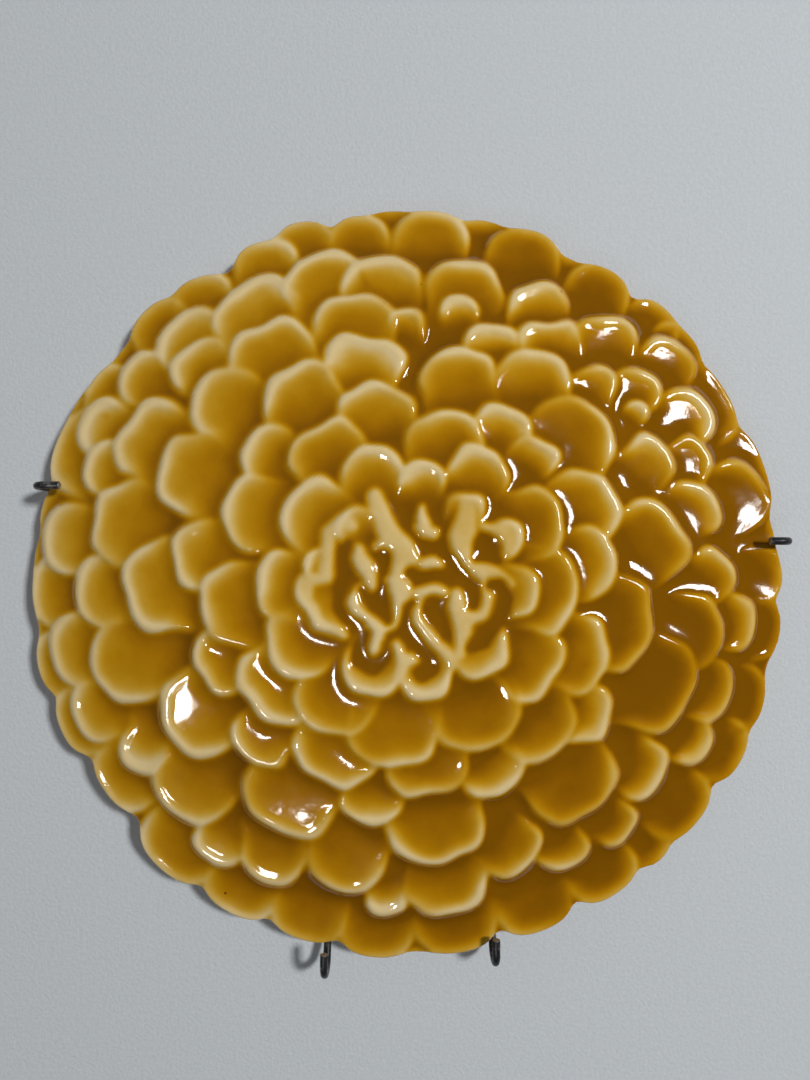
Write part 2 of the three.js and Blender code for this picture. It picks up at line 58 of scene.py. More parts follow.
Array = np.ndarray
Pair = tuple[float, float]
Triple = tuple[float, float, float]     # a place, a direction, or a point of a vein with its radius
Colour = tuple[float, float, float]
Corners = list[tuple[Array, float]]     # places on a wire, each with the radius of its bend
Object = bpy.types.Object
Socket = bpy.types.NodeSocket


# ---------------------------------------------------------------- meshes

def new_object(name: str, points: Array, quads: Array, triangles: Array,
               normals: Array | None = None) -> Object:
    """Makes a smooth mesh object at the origin.

    Args:
        name: the object's name.
        points: vertices in metres, one row each.
        quads: vertex numbers of the four-sided faces, one row each.
        triangles: vertex numbers of the three-sided faces, one row each.
        normals: directions to shade by, one row for each vertex, with zeros where the faces decide.

    Returns:
        The object, linked to the scene.
    """
    mesh = bpy.data.meshes.new(name)
    sizes = np.concatenate([np.full(len(quads), 4), np.full(len(triangles), 3)])
    corners = np.concatenate([quads.ravel(), triangles.ravel()])
    mesh.vertices.add(len(points))
    mesh.vertices.foreach_set("co", points.astype(np.float32).ravel())
    mesh.loops.add(len(corners))
    mesh.loops.foreach_set("vertex_index", corners.astype(np.int32))
    mesh.polygons.add(len(sizes))
    mesh.polygons.foreach_set("loop_start", (np.cumsum(sizes) - sizes).astype(np.int32))
    mesh.update(calc_edges=True)
    mesh.polygons.foreach_set("use_smooth", np.ones(len(sizes), dtype=bool))
    mesh.validate()
    if normals is not None:
        mesh.normals_split_custom_set_from_vertices(normals.astype(np.float32))
    made = bpy.data.objects.new(name, mesh)
    bpy.context.scene.collection.objects.link(made)
    return made


def paint(target: Object, name: str, values: Array) -> None:
    """Stores one number for each vertex as a named attribute.

    Args:
        target: the object whose mesh gets the attribute.
        name: the attribute's name.
        values: one number for each vertex.
    """
    attribute = target.data.attributes.new(name, "FLOAT", "POINT")
    attribute.data.foreach_set("value", values.astype(np.float32))


def ring_quads(first: Array, second: Array) -> Array:
    """Four-sided faces between two closed rings of the same number of vertices."""
    return np.stack([first, np.roll(first, -1), np.roll(second, -1), second], axis=1)


def fan(ring: Array, hub: int) -> Array:
    """Three-sided faces between a closed ring of vertices and one vertex in its middle."""
    return np.stack([ring, np.roll(ring, -1), np.full(len(ring), hub)], axis=1)


def in_metres(points: Array, middle_z: float) -> Array:
    """Turns [across, off the wall, up] in millimetres into metres, raised by middle_z."""
    placed = np.stack([points[:, 0], -points[:, 1], points[:, 2]], axis=1) * MM
    placed[:, 2] += middle_z
    return placed


def smoothstep(value: Array, low: float, high: float) -> Array:
    """A soft step: 0 below low, 1 above high, and 3t^2 - 2t^3 between."""
    t = np.clip((value - low) / (high - low), 0, 1)
    return t * t * (3 - 2 * t)


def between(ends: Pair, share: float) -> float:
    """The number that lies a share of the way from the first end to the second."""
    return ends[0] + (ends[1] - ends[0]) * share


# ---------------------------------------------------------------- flower relief, in millimetres

# Petals, row by row from the rim inwards: the row's lift, then for each petal the bearing of its
# tip clockwise from the top, its reach from the middle, its width, the length of its rounded cap,
# and the turn of its axis.
PETAL_ROWS = (
    (-2.8, (
        (357.5, 125, 18, 8, 0), (12.5, 124.5, 18, 8, 0), (27, 121.5, 16, 7, 0),
        (43.5, 127, 20, 9, 0), (49, 126.5, 20, 8, 0), (59, 125, 30, 9, 0), (72, 126.5, 34, 11, 0),
        (83, 124.5, 18, 8, 0), (103, 124, 16, 7, 0), (178.5, 124, 16, 7, 0),
        (263, 124.5, 16, 7, 0), (274, 125.5, 16, 7, 0), (281.5, 125.5, 19, 8, 0),
        (298, 126.5, 18, 8, 0), (309, 123.5, 18, 7, 0))),
    (-1.1, (
        (4, 124.4, 26, 12, 0), (18.5, 124.5, 26, 12, -12), (32.5, 124.3, 23, 11, -9),
        (49, 120.5, 20, 8, -14), (73.5, 122.8, 26, 11, -21), (88, 125.5, 20, 9, -8),
        (97.5, 126, 22, 9, 0), (108.5, 126, 24, 10, -8), (118, 127, 23, 9, 0),
        (129.5, 126, 27, 11, 0), (137.5, 126, 15, 8, 0), (146, 125.5, 25, 10, 0),
        (158.5, 125, 26, 10, 0), (172, 125, 28, 11, 0), (185, 126, 25, 10, 0),
        (196.5, 124.5, 26, 10, 0), (208.5, 125.5, 26, 10, 0), (221, 126.5, 30, 12, 2),
        (235.5, 122.5, 25, 9, 0), (247, 126, 24, 9, 0), (257, 127, 22, 8, 0),
        (268.5, 125.5, 24, 9, 0), (292, 126.5, 30, 10, 0), (302.5, 125, 20, 8, 0),
        (316, 126.5, 22, 9, 0), (325.5, 123.7, 21, 8, 18), (337, 123.8, 22, 9, 12),
        (344, 125.7, 20, 9, 13), (352.5, 123.5, 20, 10, 5))),
    (-0.3, (
        (58.5, 115.3, 20, 9, -10), (97, 115.5, 19, 8, 0), (109.5, 112.5, 22, 9, 0),
        (119, 113.5, 16, 8, 0), (216, 112, 18, 8, 0), (247.5, 119, 21, 9, 0),
        (258.5, 120.5, 25, 11, 0), (277, 122, 24, 11, -5), (297.5, 120.5, 20, 8, 5),
        (307.5, 117.5, 19, 9, -5), (318.5, 116, 24, 9, 2), (290.5, 113, 18, 8, -5),
        (330.5, 112, 29, 10, -4), (343, 112, 27, 12, -12), (355.5, 107, 26, 9, 4),
        (9.5, 107.3, 25, 12, -12), (23, 106.5, 20, 8, -30), (37, 109.5, 20, 8, -35),
        (49, 104.5, 17, 8, -12), (65, 106.5, 17, 8, -22), (73.5, 103.5, 20, 9, -22),
        (86.5, 105.8, 19, 9, -26), (98.5, 104, 26, 12, -8), (127, 105, 21, 9, -14),
        (138, 109.5, 16, 7, -20), (149.5, 107, 17, 8, 0), (157, 100, 22, 10, -20),
        (172, 109.5, 27, 11, -4), (183, 108.5, 14, 8, -15), (192.5, 102.5, 27, 14, 0),
        (204, 108, 22, 14, -22), (226, 107.5, 28, 13, -6), (235.5, 108.5, 17, 12, -32),
        (252, 105.5, 29, 14, -18), (267.5, 108.5, 24, 11, -10), (281, 104.7, 28, 13, -8),
        (300, 105.5, 28, 9, 5), (316.5, 105, 21, 7, 2))),
    (0.0, (
        (331, 96.5, 29, 11, 12), (350.5, 94.5, 27, 10, 14), (10.5, 94.5, 12, 6, -6),
        (28, 96, 20, 6, -36), (17.5, 87.3, 16, 5, -23), (0, 88, 12, 6, 0), (42, 93.5, 15, 7, -20),
        (53, 96, 9, 5, -15), (61.5, 94.5, 19, 12, -20), (77, 89.5, 29, 12, -21),
        (111.5, 99, 34, 15, -2), (140, 94.7, 32, 13, 0), (173, 90.5, 32, 13, -2),
        (209.5, 90, 32, 13, 2), (238, 90.5, 29, 12, 0), (268.5, 91, 30, 13, -6),
        (295.5, 88.3, 27, 12, -13), (314, 93, 25, 13, -8))),
    (0.2, (
        (332, 79, 26, 12, 7), (350.5, 80, 25, 8, 16), (11, 76.5, 25, 13, -20),
        (29.5, 86, 24, 10, -18), (47, 82.5, 30, 14, -8), (63.5, 71, 25, 11, -16),
        (101, 79, 32, 12, 2), (124.5, 77.5, 20, 9, -14), (136.5, 71, 27, 12, -2),
        (154, 72.5, 21, 9, -10), (189.5, 76.8, 19, 8, 0), (222.5, 75, 20, 8, -8),
        (248, 71.8, 22, 9, 0), (277, 74.5, 23, 8, -6), (173, 67, 26, 10, -4),
        (203.5, 67.5, 28, 12, 0), (111.5, 67.5, 26, 11, -4), (82, 66, 23, 9, -6),
        (312, 68, 19, 8, -10))),
    (0.3, (
        (292, 62.2, 24, 10, -18), (328.5, 58, 25, 10, 0), (351, 64, 24, 8, 9),
        (12, 56, 25, 11, -14), (30.5, 64.5, 18, 7, -6), (44, 62.3, 15, 6, -11),
        (65, 53, 24, 10, 8), (91.5, 53.5, 28, 12, 0), (123.5, 55.5, 25, 11, 4),
        (151, 57, 29, 13, 0), (186, 57.5, 30, 13, 0), (212.5, 53.5, 26, 12, 0),
        (233, 62.5, 28, 11, 0), (263, 65.7, 27, 12, -2))),
    (0.5, (
        (240.5, 48.5, 23, 11, -4), (269.5, 47.5, 22, 10, 0), (307, 46, 24, 10, -1),
        (345, 45.5, 20, 11, 8), (29.5, 49.8, 19, 11, -12), (201, 36.8, 19, 13, -6),
        (168, 36.5, 18, 12, 0), (134, 38.5, 19, 10, 12), (93, 41, 18, 12, 0), (66, 39, 12, 7, 10),
        (35, 35, 13, 9, -15), (318, 29.7, 14, 8, -5), (281, 32.6, 9, 5, -20),
        (254, 33.2, 22, 10, -20), (8, 38.5, 15, 6, 0))),
)
RIM_ROWS = 2                    # rows of petals that make the scalloped outline
LIP_RINGS = 8                   # rings of vertices from the front's edge to the lip's back corner
BACK_STEP = 4                   # the back has one vertex for so many of the lip's
LEFT_EYE, RIGHT_EYE = 4, 6      # places of the two eyes in a wire's list of corners
CUT_PLACES = (0.0, 0.12, 0.3)   # rings that round a cut end, as shares of the wire's radius
CUT_SIZES = (0.72, 0.93)        # and the size of the first two
ASKEW = (0.3, 0.2, 0.93)        # a direction that no wire starts along

# The heart of the flower: raised veins and the pits between them, each a row of (across, up,
# radius) from the middle of the plaque.
VEINS = (
    ((-9.8, 27, 2.2), (-7.5, 20, 2.8), (-3.5, 13.5, 2.8), (0.5, 8, 2.6), (-1.5, 3, 3),
     (-2, -1, 3)),
    ((5, 24.5, 0.5), (5.5, 20.5, 1.4)),
    ((4.6, 17.2, 1.6), (7.8, 17.2, 1.6)),
    ((18.5, 25.5, 2.2), (17.5, 17, 4), (17.5, 12, 2.4), (18.2, 7.5, 1.2)),
    ((24, 19, 0.8), (28.5, 18, 1.8), (31, 15.5, 2.8), (35, 15.3, 0.6)),
    ((31, 15, 2.4), (30.5, 10.5, 0.8)),
    ((-17.5, 18, 1.4), (-20, 20, 1.6), (-24.3, 16.5, 1.8), (-25.5, 10, 2), (-24.5, 3, 1.6)),
    ((-25, 2.5, 1.2), (-29.5, 1, 1.5), (-32, -5, 1.7), (-28.5, -11, 1.5), (-21, -15.5, 1.3)),
    ((-14.6, 10.5, 2.2), (-13.2, 5, 2.6), (-11.5, -0.5, 1.4)),
    ((-7.8, 12.5, 1.6), (-4.5, 8, 1.2), (-4.5, 2, 1.6)),
    ((-15.5, -1, 1), (-17, -5, 1.5), (-13.5, -10, 1.8), (-9.5, -13.5, 2.3), (-10.5, -19, 1.5),
     (-12, -21.5, 0.6)),
    ((-2, -1, 2.4), (-4, -7, 1), (-4.5, -12, 1.2), (-8, -14.5, 1.8)),
    ((6, 6.5, 1.5), (9, 7, 1.7)),
    ((11.5, -2.5, 0.8), (7.5, -1.5, 0.9), (3.5, -2, 1.3), (2.3, -7, 1), (3, -11, 1.3),
     (7, -15.5, 1.5), (11.5, -20.5, 1.5), (14.3, -25, 1)),
    ((15.7, -2, 1.3), (16.2, -7, 2.5), (17.5, -12, 3), (17, -18, 2.2), (15.7, -21.5, 1.2)),
    ((18, -11, 2.6), (22.5, -8, 2.4), (24.5, -3.5, 1.8), (22.5, 1, 1.8)),
    ((17.8, 6, 1), (22, 4.5, 2), (27.5, 3.5, 1.9), (32, 1, 1.4)),
    ((-3, -18.5, 0.8), (-1.5, -23.5, 2), (4.5, -22, 0.4)),
    ((-1.5, -24, 1.8), (-2.8, -28, 1.2)),
)
PITS = (
    ((-7.6, 9.3, 1.5), (-7.6, 4.2, 1.6)),
    ((-18, 12.5, 1.4), (-19.8, 9, 1.6), (-19.5, 4.5, 1.2), (-21.4, -0.5, 1.7), (-21.4, -6, 1.8),
     (-18, -11, 1.5), (-14.5, -12, 0.6)),
    ((-15, -1.2, 0.5), (-10.5, -5, 1.3), (-7.5, -8, 1.5), (-5.9, -11, 0.7)),
    ((-7.8, -2, 0.9), (-7.8, -6, 1.5)),
    ((1.8, 4.9, 1.1), (5, 2.2, 1.5), (12, 2, 1.6), (16.5, 4, 1.6)),
    ((15, 5.5, 1.3), (12.5, 9, 1.2), (9.5, 11.7, 1.2), (5, 11.8, 1.3)),
    ((17.5, 3, 1.3), (20.8, 0, 1.5), (20.5, -6, 1.1)),
    ((1.2, -5, 0.7), (-0.8, -7, 1.1), (-0.8, -12, 1), (0.5, -16, 1.5), (3.5, -18.5, 1.7),
     (7, -22, 1.7), (7.5, -26, 2.4), (4, -27.5, 2.4)),
    ((9, -5.5, 1.4), (7.5, -8.5, 1.3), (11, -11.5, 1.6), (12, -15, 1.4)),
    ((26, -1, 0.9), (29.5, -0.3, 1.1), (31, -4, 1.4), (29.5, -8.5, 1.5), (26, -13, 1.7),
     (23.5, -17, 2.3), (19, -20, 1)),
    ((-4.6, -16, 1.3), (-3, -15, 0.7)),
    ((-13, -14.5, 0.9), (-15.5, -18.5, 1.9), (-14.5, -23, 2.3), (-10.5, -25.5, 2.3),
     (-7, -22.5, 1.5)),
    ((24.5, 15.5, 1.2), (24.3, 11, 1.7), (21.5, 8.5, 0.9)),
    ((24.3, 10, 1.5), (28.5, 7.8, 0.9)),
)


@dataclass(frozen=True)
class PetalForm:
    """How every petal is shaped, in millimetres unless a comment says otherwise."""

    climb: float = 3.2          # from root to tip
    sink: float = 0.9           # how far the root lies under its row's level
    edge_curl: float = 1.5      # extra height of the curled edge
    curl_from: float = 0.15     # where the curl starts and is full, as shares of the way to the tip
    curl_full: float = 0.7
    edge_at: float = 0.93       # where the edge is highest, as a share of the way out
    edge_round: float = 0.3     # width of the edge's gently sloping top
    edge_slope: float = 0.25    # slope of that top
    drop_slope: float = 1.7     # further slope of the drop outside it
    ground: float = -1.6        # body surface between petals
    cap_power: float = 2.4      # roundness of the tip
    tail_power: float = 3.0     # roundness of the root
    tail_share: float = 0.85    # length behind the widest line, as a share of the width
    ends_at: Pair = (-0.2, 2.2)  # least way up and most way out that it covers


@dataclass(frozen=True)
class ThinGlaze:
    """Where a petal's glaze runs thin, as shares of 1. The pairs band, tip and face are the least
    and the most that a petal gets. The other pairs are where a fade starts and where it is full."""

    edge: float = 0.42
    edge_width: float = 2.0         # fade of the edge, in millimetres
    band: Pair = (0.18, 0.42)
    band_width: float = 55.0        # square millimetres, over the petal's size
    edge_up: Pair = (0.38, 0.88)    # way up over which the edge and the band come in
    tip: Pair = (0.14, 0.39)
    tip_up: Pair = (0.42, 0.80)
    tip_size: float = 14.0          # size at which the pale tip is gone, in millimetres
    tip_fade: float = 5.0
    tip_least: float = 0.15
    low_row: float = -1.0           # rows that lie lower keep this share of the pale tip
    tip_low_row: float = 0.2
    face: Pair = (0.01, 0.07)
    face_climb: float = 0.17
    face_up: Pair = (0.15, 0.85)
    one_sided: float = 0.7          # how much less on the side that the glaze ran to
    one_side: Pair = (-0.2, 0.8)    # way to that side, 1 at the widest
    ends_at: Pair = (0.3, 1.6)      # fade outside the edge, in millimetres
    vary_by: Pair = (2.3, 0.7)      # turns of the sine wave by bearing and reach: amount
    lean_by: Pair = (1.7, 1.3)      # and side


@dataclass(frozen=True)
class Petal:
    """One petal: a scoop that climbs from its root to a rounded tip."""

    bearing: float
    reach: float
    width: float
    cap: float
    turn: float
    lift: float
    form: PetalForm = PetalForm()
    glaze: ThinGlaze = ThinGlaze()

    @property
    def along(self) -> Pair:
        """Direction of the petal's axis, from root to tip."""
        angle = math.radians(self.bearing + self.turn)
        return math.sin(angle), math.cos(angle)

    @property
    def tail(self) -> float:
        """Length behind the petal's widest line."""
        return self.width * self.form.tail_share

    @property
    def size(self) -> float:
        """The smaller of its half width and its cap."""
        return min(self.width / 2, self.cap)

    @property
    def middle(self) -> Pair:
        """Middle of the petal's widest line."""
        angle = math.radians(self.bearing)
        ax, az = self.along
        return (self.reach * math.sin(angle) - self.cap * ax,
                self.reach * math.cos(angle) - self.cap * az)

    def place(self, x: Array, z: Array) -> tuple[Array, Array, Array]:
        """Finds where points lie in the petal.

        The outline is a superellipse: (sideways^p + lengthways^p)^(1/p) is 1 on it, with one power
        for the cap and one for the tail.

        Args:
            x: points across, from the middle of the plaque.
            z: points up, from the middle of the plaque.

        Returns:
            How far out each point is, 1 on the outline, how far up from root to tip, and how far
            to one side, 1 at the widest.
        """
        (mx, mz), (ax, az) = self.middle, self.along
        forward = (x - mx) * ax + (z - mz) * az
        side = ((x - mx) * az - (z - mz) * ax) / (self.width / 2)
        lengthways = np.abs(forward) / np.where(forward > 0, self.cap, self.tail)
        power = np.where(forward > 0, self.form.cap_power, self.form.tail_power)
        out = (np.abs(side)**power + lengthways**power) ** (1 / power)
        return out, (forward + self.tail) / (self.cap + self.tail), side

    def surface(self, x: Array, z: Array) -> tuple[Array, Array]:
        """Height over the dome: lift + climb + a curl that grows as the cube of the way out, less a
        steep straight drop beyond the edge.

        Args:
            x: points across, from the middle of the plaque.
            z: points up, from the middle of the plaque.

        Returns:
            The height of this petal alone at each point, and how thin its glaze runs there.
        """
        form = self.form
        out, up, side = self.place(x, z)
        climb = form.climb * np.clip(up, 0, 1) - form.sink
        curl = form.edge_curl * smoothstep(up, form.curl_from, form.curl_full)
        curl = curl * np.minimum(out / form.edge_at, 1) ** 3
        beyond = np.maximum(out - form.edge_at, 0) * self.size
        drop = form.drop_slope * np.maximum(beyond - form.edge_round, 0) + form.edge_slope * beyond
        covered = (up > form.ends_at[0]) & (out < form.ends_at[1])
        height = np.where(covered, self.lift + climb + curl - drop, form.ground)
        return height, self.thinness(out, up, side)

    def thinness(self, out: Array, up: Array, side: Array) -> Array:
        """How thin the glaze runs: on the edge and in a band inside it, both weaker on one side,
        over the tip of a small petal, and a little more the further up. Sine waves of the petal's
        place make it vary from petal to petal.

        Args:
            out: how far out each point is, 1 on the outline.
            up: how far up from root to tip.
            side: how far to one side, 1 at the widest.

        Returns:
            The share for each point, from 0 to about 1.
        """
        glaze = self.glaze
        vary = 0.5 + 0.5 * math.sin(glaze.vary_by[0] * self.bearing + glaze.vary_by[1] * self.reach)
        leaning = math.sin(glaze.lean_by[0] * self.bearing + glaze.lean_by[1] * self.reach)
        within = np.maximum(self.form.edge_at - out, 0) * self.size
        beyond = np.maximum(out - self.form.edge_at, 0) * self.size
        small = min(max((glaze.tip_size - self.size) / glaze.tip_fade, glaze.tip_least), 1)
        if self.lift < glaze.low_row:
            small *= glaze.tip_low_row
        to_side = smoothstep(math.copysign(1, leaning) * side, *glaze.one_side)
        band = between(glaze.band, vary)
        band = band * (1 - smoothstep(within, 0.0, glaze.band_width / self.size))
        thin = band + glaze.edge * np.exp(-within / glaze.edge_width)
        kept = 1 - glaze.one_sided * abs(leaning) * to_side
        thin = thin * smoothstep(up, *glaze.edge_up) * kept
        thin = thin + small * between(glaze.tip, vary) * smoothstep(up, *glaze.tip_up)
        thin = thin + between(glaze.face, vary) + glaze.face_climb * smoothstep(up, *glaze.face_up)
        return thin * (1 - smoothstep(beyond, *glaze.ends_at))


@dataclass(frozen=True)
class Heart:
    """The open middle of the flower: veins standing on a floor, with pits cut down to it."""

    floor: float = 0.7
    floor_radius: float = 22.0
    vein_top: float = 3.1
    slope: float = 1.7
    vein_thin: float = 0.8
    vein_fade: Pair = (0.2, 1.4)    # where the thin glaze ends, outside the vein
    pit_fade: Pair = (0.1, 1.3)     # and where it starts, outside the pit

    def beyond(self, path: tuple[Triple, ...], x: Array, z: Array) -> Array:
        """Distance outside a path of capsules, whose radius changes evenly along each one.

        Args:
            path: the path's points as (across, up, radius).
            x: places across, from the middle of the plaque.
            z: places up, from the middle of the plaque.

        Returns:
            How far each place lies outside the path, 0 inside it.
        """
        nearest = np.full(x.shape, np.inf)
        for (ax, az, ar), (bx, bz, br) in zip(path, path[1:]):
            dx, dz = bx - ax, bz - az
            share = np.clip(((x - ax) * dx + (z - az) * dz) / (dx * dx + dz * dz), 0, 1)
            away = np.hypot(x - ax - share * dx, z - az - share * dz) - (ar + share * (br - ar))
            nearest = np.minimum(nearest, away)
        return np.maximum(nearest, 0)

    def carve(self, height: Array, thin: Array, x: Array, z: Array) -> tuple[Array, Array]:
        """Adds the floor and veins to the height, then cuts the pits, all with sloping sides. The
        glaze is thin on the veins and thick in the pits.

        Args:
            height: height over the dome.
            thin: how thin the glaze runs.
            x: places across, from the middle of the plaque.
            z: places up, from the middle of the plaque.

        Returns:
            The new height and thinness.
        """
        middle = np.hypot(x, z) < self.floor_radius
        height = np.where(middle, np.maximum(height, self.floor), height)
        for vein in VEINS:
            away = self.beyond(vein, x, z)
            height = np.maximum(height, self.vein_top - self.slope * away)
            thin = np.maximum(thin, self.vein_thin * (1 - smoothstep(away, *self.vein_fade)))
        for pit in PITS:
            away = self.beyond(pit, x, z)
            height = np.minimum(height, self.floor + self.slope * away)
            thin = np.minimum(thin, smoothstep(away, *self.pit_fade))
        return height, thin


@dataclass
class Relief:
    """The whole flower relief as height maps on one square raster, in millimetres."""

    step: float = 0.4
    half_size: float = 134.0
    furthest: float = 129.0         # no petal reaches past this
    notch_floor: float = 119.5      # and no notch in the outline is deeper than this
    edge_inset: float = 1.0
    wander: float = 0.8             # how far outlines stray, and where that fades out
    wander_ends: Pair = (100.0, 118.0)
    window_margin: float = 4.0      # beyond a petal's reach, for the wandering
    glaze_round: float = 1.1        # width over which the melted glaze rounds the clay
    fill_width: float = 2.7         # and over which it has filled the valleys
    fill_share: float = 0.9
    pool_plain: float = 0.85        # depth of the glaze on a plain stretch
    pool_thinned: float = 0.70      # less where it runs thin
    pool_in_hollow: float = 0.18    # more for each millimetre under the wide average
    hollow_width: float = 5.5
    clay_width: float = 0.7         # over which the clay is averaged for that
    thin_width: float = 0.6         # over which the thin places are softened
    # painted shade: the glaze is made deeper from the middle to the right side and a little towards
    # the bottom, and shallower to the left
    painted_shade_right: float = 0.32         # more from the middle to the right side, less to the left
    painted_shade_up: float = -0.05
    painted_shade_spares_thin: float = 0.7    # how little of "less" a thin place takes
    heart: Heart = Heart()

    @cached_property
    def petals(self) -> list[Petal]:
        """Every petal, from the rim inwards."""
        return [Petal(*numbers, lift=lift) for lift, row in PETAL_ROWS for numbers in row]

    @cached_property
    def rim_petals(self) -> list[Petal]:
        """The petals that make the scalloped outline."""
        return self.petals[:sum(len(row) for _, row in PETAL_ROWS[:RIM_ROWS])]

    @cached_property
    def axis(self) -> Array:
        """The raster's places along each side."""
        count = int(round(2 * self.half_size / self.step)) + 1
        return np.linspace(-self.half_size, self.half_size, count)

    @cached_property
    def reaches(self) -> Array:
        """The outline's radius at every whole degree: the furthest point of any rim petal on that
        bearing, no less than the notch floor, with its neighbours mixed in by a quarter each."""
        bearing = np.radians(np.arange(360))[:, None]
        radius = np.arange(self.furthest, self.notch_floor, -0.1)[None, :]
        x, z = radius * np.sin(bearing), radius * np.cos(bearing)
        inside = np.zeros(x.shape, dtype=bool)
        for petal in self.rim_petals:
            inside |= petal.place(x, z)[0] < 1
        furthest = np.where(inside, radius, self.notch_floor).max(axis=1)
        return (np.roll(furthest, 1) + 2 * furthest + np.roll(furthest, -1)) / 4

    def outline(self, bearing: Array) -> Array:
        """Radius of the scalloped outline at bearings in degrees clockwise from the top."""
        return np.interp(bearing, np.arange(360), self.reaches, period=360)

    @cached_property
    def clay_and_thin(self) -> tuple[Array, Array]:
        """Height over the dome before glazing, the highest petal at each point, and how thin that
        petal's glaze runs. Points near and beyond the outline take the values just inside it on the
        same bearing."""
        x, z = np.meshgrid(self.axis, self.axis)
        radius = np.hypot(x, z)
        limit = self.outline(np.degrees(np.arctan2(x, z))) - self.edge_inset
        pull = np.minimum(1, limit / np.maximum(radius, 1e-6))
        x, z = self.wandering(x * pull, z * pull)
        height = np.full(x.shape, PetalForm().ground)
        thin = np.zeros(x.shape)
        for petal in self.petals:
            span = petal.form.ends_at[1] * max(petal.width / 2, petal.tail) + self.window_margin
            rows = np.abs(self.axis - petal.middle[1]) < span
            columns = np.abs(self.axis - petal.middle[0]) < span
            window = np.ix_(rows, columns)
            new_height, new_thin = petal.surface(x[window], z[window])
            thin[window] = np.where(new_height > height[window], new_thin, thin[window])
            height[window] = np.maximum(height[window], new_height)
        return self.heart.carve(height, thin, x, z)

    def wandering(self, x: Array, z: Array) -> tuple[Array, Array]:
        """Shifts places by a few crossed sine waves, so that outlines look cut by hand. The shift
        fades out towards the scalloped outline."""
        size = self.wander * (1 - smoothstep(np.hypot(x, z), *self.wander_ends))
        shift_x = np.sin(0.31 * z + 0.9) * np.cos(0.21 * x) + 0.45 * np.sin(0.42 * z - 0.27 * x)
        shift_z = np.sin(0.33 * x + 2.1) * np.cos(0.19 * z) + 0.45 * np.sin(0.40 * x + 0.24 * z)
        return x + size * shift_x, z + size * shift_z

    def softened(self, field_map: Array, width: float, pad: int = 40) -> Array:
        """A map blurred by a bell curve of the given width in millimetres, done in frequencies,
        with its edges carried on by some points so that opposite sides don't mix."""
        padded = np.pad(field_map, pad, mode="edge")
        fz = np.fft.fftfreq(padded.shape[0], self.step)[:, None]
        fx = np.fft.rfftfreq(padded.shape[1], self.step)[None, :]
        bell = np.exp(-2 * (math.pi * width) ** 2 * (fx**2 + fz**2))
        soft = np.fft.irfft2(np.fft.rfft2(padded) * bell, s=padded.shape)
        return soft[pad:-pad, pad:-pad]

    @cached_property
    def skin(self) -> Array:
        """Height of the glazed surface over the dome: the clay rounded by the melted glaze, which
        also runs down and fills the narrow valleys."""
        clay = self.clay_and_thin[0]
        rounded = self.softened(clay, self.glaze_round)
        filled = self.softened(clay, self.fill_width)
        return rounded + self.fill_share * np.maximum(filled - rounded, 0)

    @cached_property
    def pool(self) -> Array:
        """How thick the glaze lies, 0 on the sharpest crests and 1 in the deepest hollows: less
        where a petal thins it, and more the deeper the clay lies under its own wide average. It is
        also made deeper towards the right and a little towards the bottom, and shallower towards the
        left: painted shade."""
        clay, thin = self.clay_and_thin
        hollow = self.softened(clay, self.hollow_width) - self.softened(clay, self.clay_width)
        thin = np.minimum(self.softened(thin, self.thin_width), 1)
        # Painted shade: deeper towards the right and a little towards the bottom, shallower towards
        # the left, where thin places take less of the lightening.
        painted_shade = self.painted_shade_right * self.axis[None, :] + self.painted_shade_up * self.axis[:, None]
        painted_shade = painted_shade / self.half_size
        painted_shade = np.maximum(painted_shade, painted_shade * (1 - self.painted_shade_spares_thin * thin))
        depth = self.pool_plain - self.pool_thinned * thin + self.pool_in_hollow * hollow + painted_shade
        return np.clip(depth, 0, 1)

    def sample(self, field_map: Array, x: Array, z: Array) -> Array:
        """Reads a map between its raster points, as the average of the four nearest, weighted."""
        u = np.clip((x + self.half_size) / self.step, 0, len(self.axis) - 1.001)
        v = np.clip((z + self.half_size) / self.step, 0, len(self.axis) - 1.001)
        i, j = u.astype(int), v.astype(int)
        u, v = u - i, v - j
        low = field_map[j, i] * (1 - u) + field_map[j, i + 1] * u
        high = field_map[j + 1, i] * (1 - u) + field_map[j + 1, i + 1] * u
        return low * (1 - v) + high * v


# ---------------------------------------------------------------- finishes

class Graph:
    """A shader node tree under construction, with short ways to add and join its nodes."""

    def __init__(self, tree: bpy.types.NodeTree) -> None:
        """Takes up a tree."""
        self.tree = tree

    def node(self, kind: str, **values: Socket | Colour | float) -> bpy.types.Node:
        """Adds a node and fills its inputs.

        Args:
            kind: the node's type, without its ShaderNode.
            values: what each input gets, with underscores standing for spaces in its name.

        Returns:
            The node.
        """
        made = self.tree.nodes.new("ShaderNode" + kind)
        for name, value in values.items():
            self.fill(made.inputs[name.replace("_", " ")], value)
        return made

    def fill(self, target: Socket, value: Socket | Colour | float) -> None:
        """Joins a socket to an input, or sets the input to a number, direction or colour."""
        if isinstance(value, Socket):
            self.tree.links.new(value, target)
        else:
            target.default_value = (*value, 1) if target.type == "RGBA" else value

    def math(self, operation: str, first: Socket | float, second: Socket | float,
             clamp: bool = False) -> Socket:
        """Works out a sum of two sockets or numbers."""
        made = self.node("Math")
        made.operation = operation
        made.use_clamp = clamp
        self.fill(made.inputs[0], first)
        self.fill(made.inputs[1], second)
        return made.outputs[0]

    def span(self, value: Socket, low: float, high: float) -> Socket:
        """Spreads a mask from 0..1 to low..high."""
        return self.node("MapRange", Value=value, To_Min=low, To_Max=high).outputs["Result"]


class Mask(Enum):
    """The shared node groups and what each puts out."""

    MOTTLE = "cloudy_mottle"
    SPECKS = "scattered_specks"


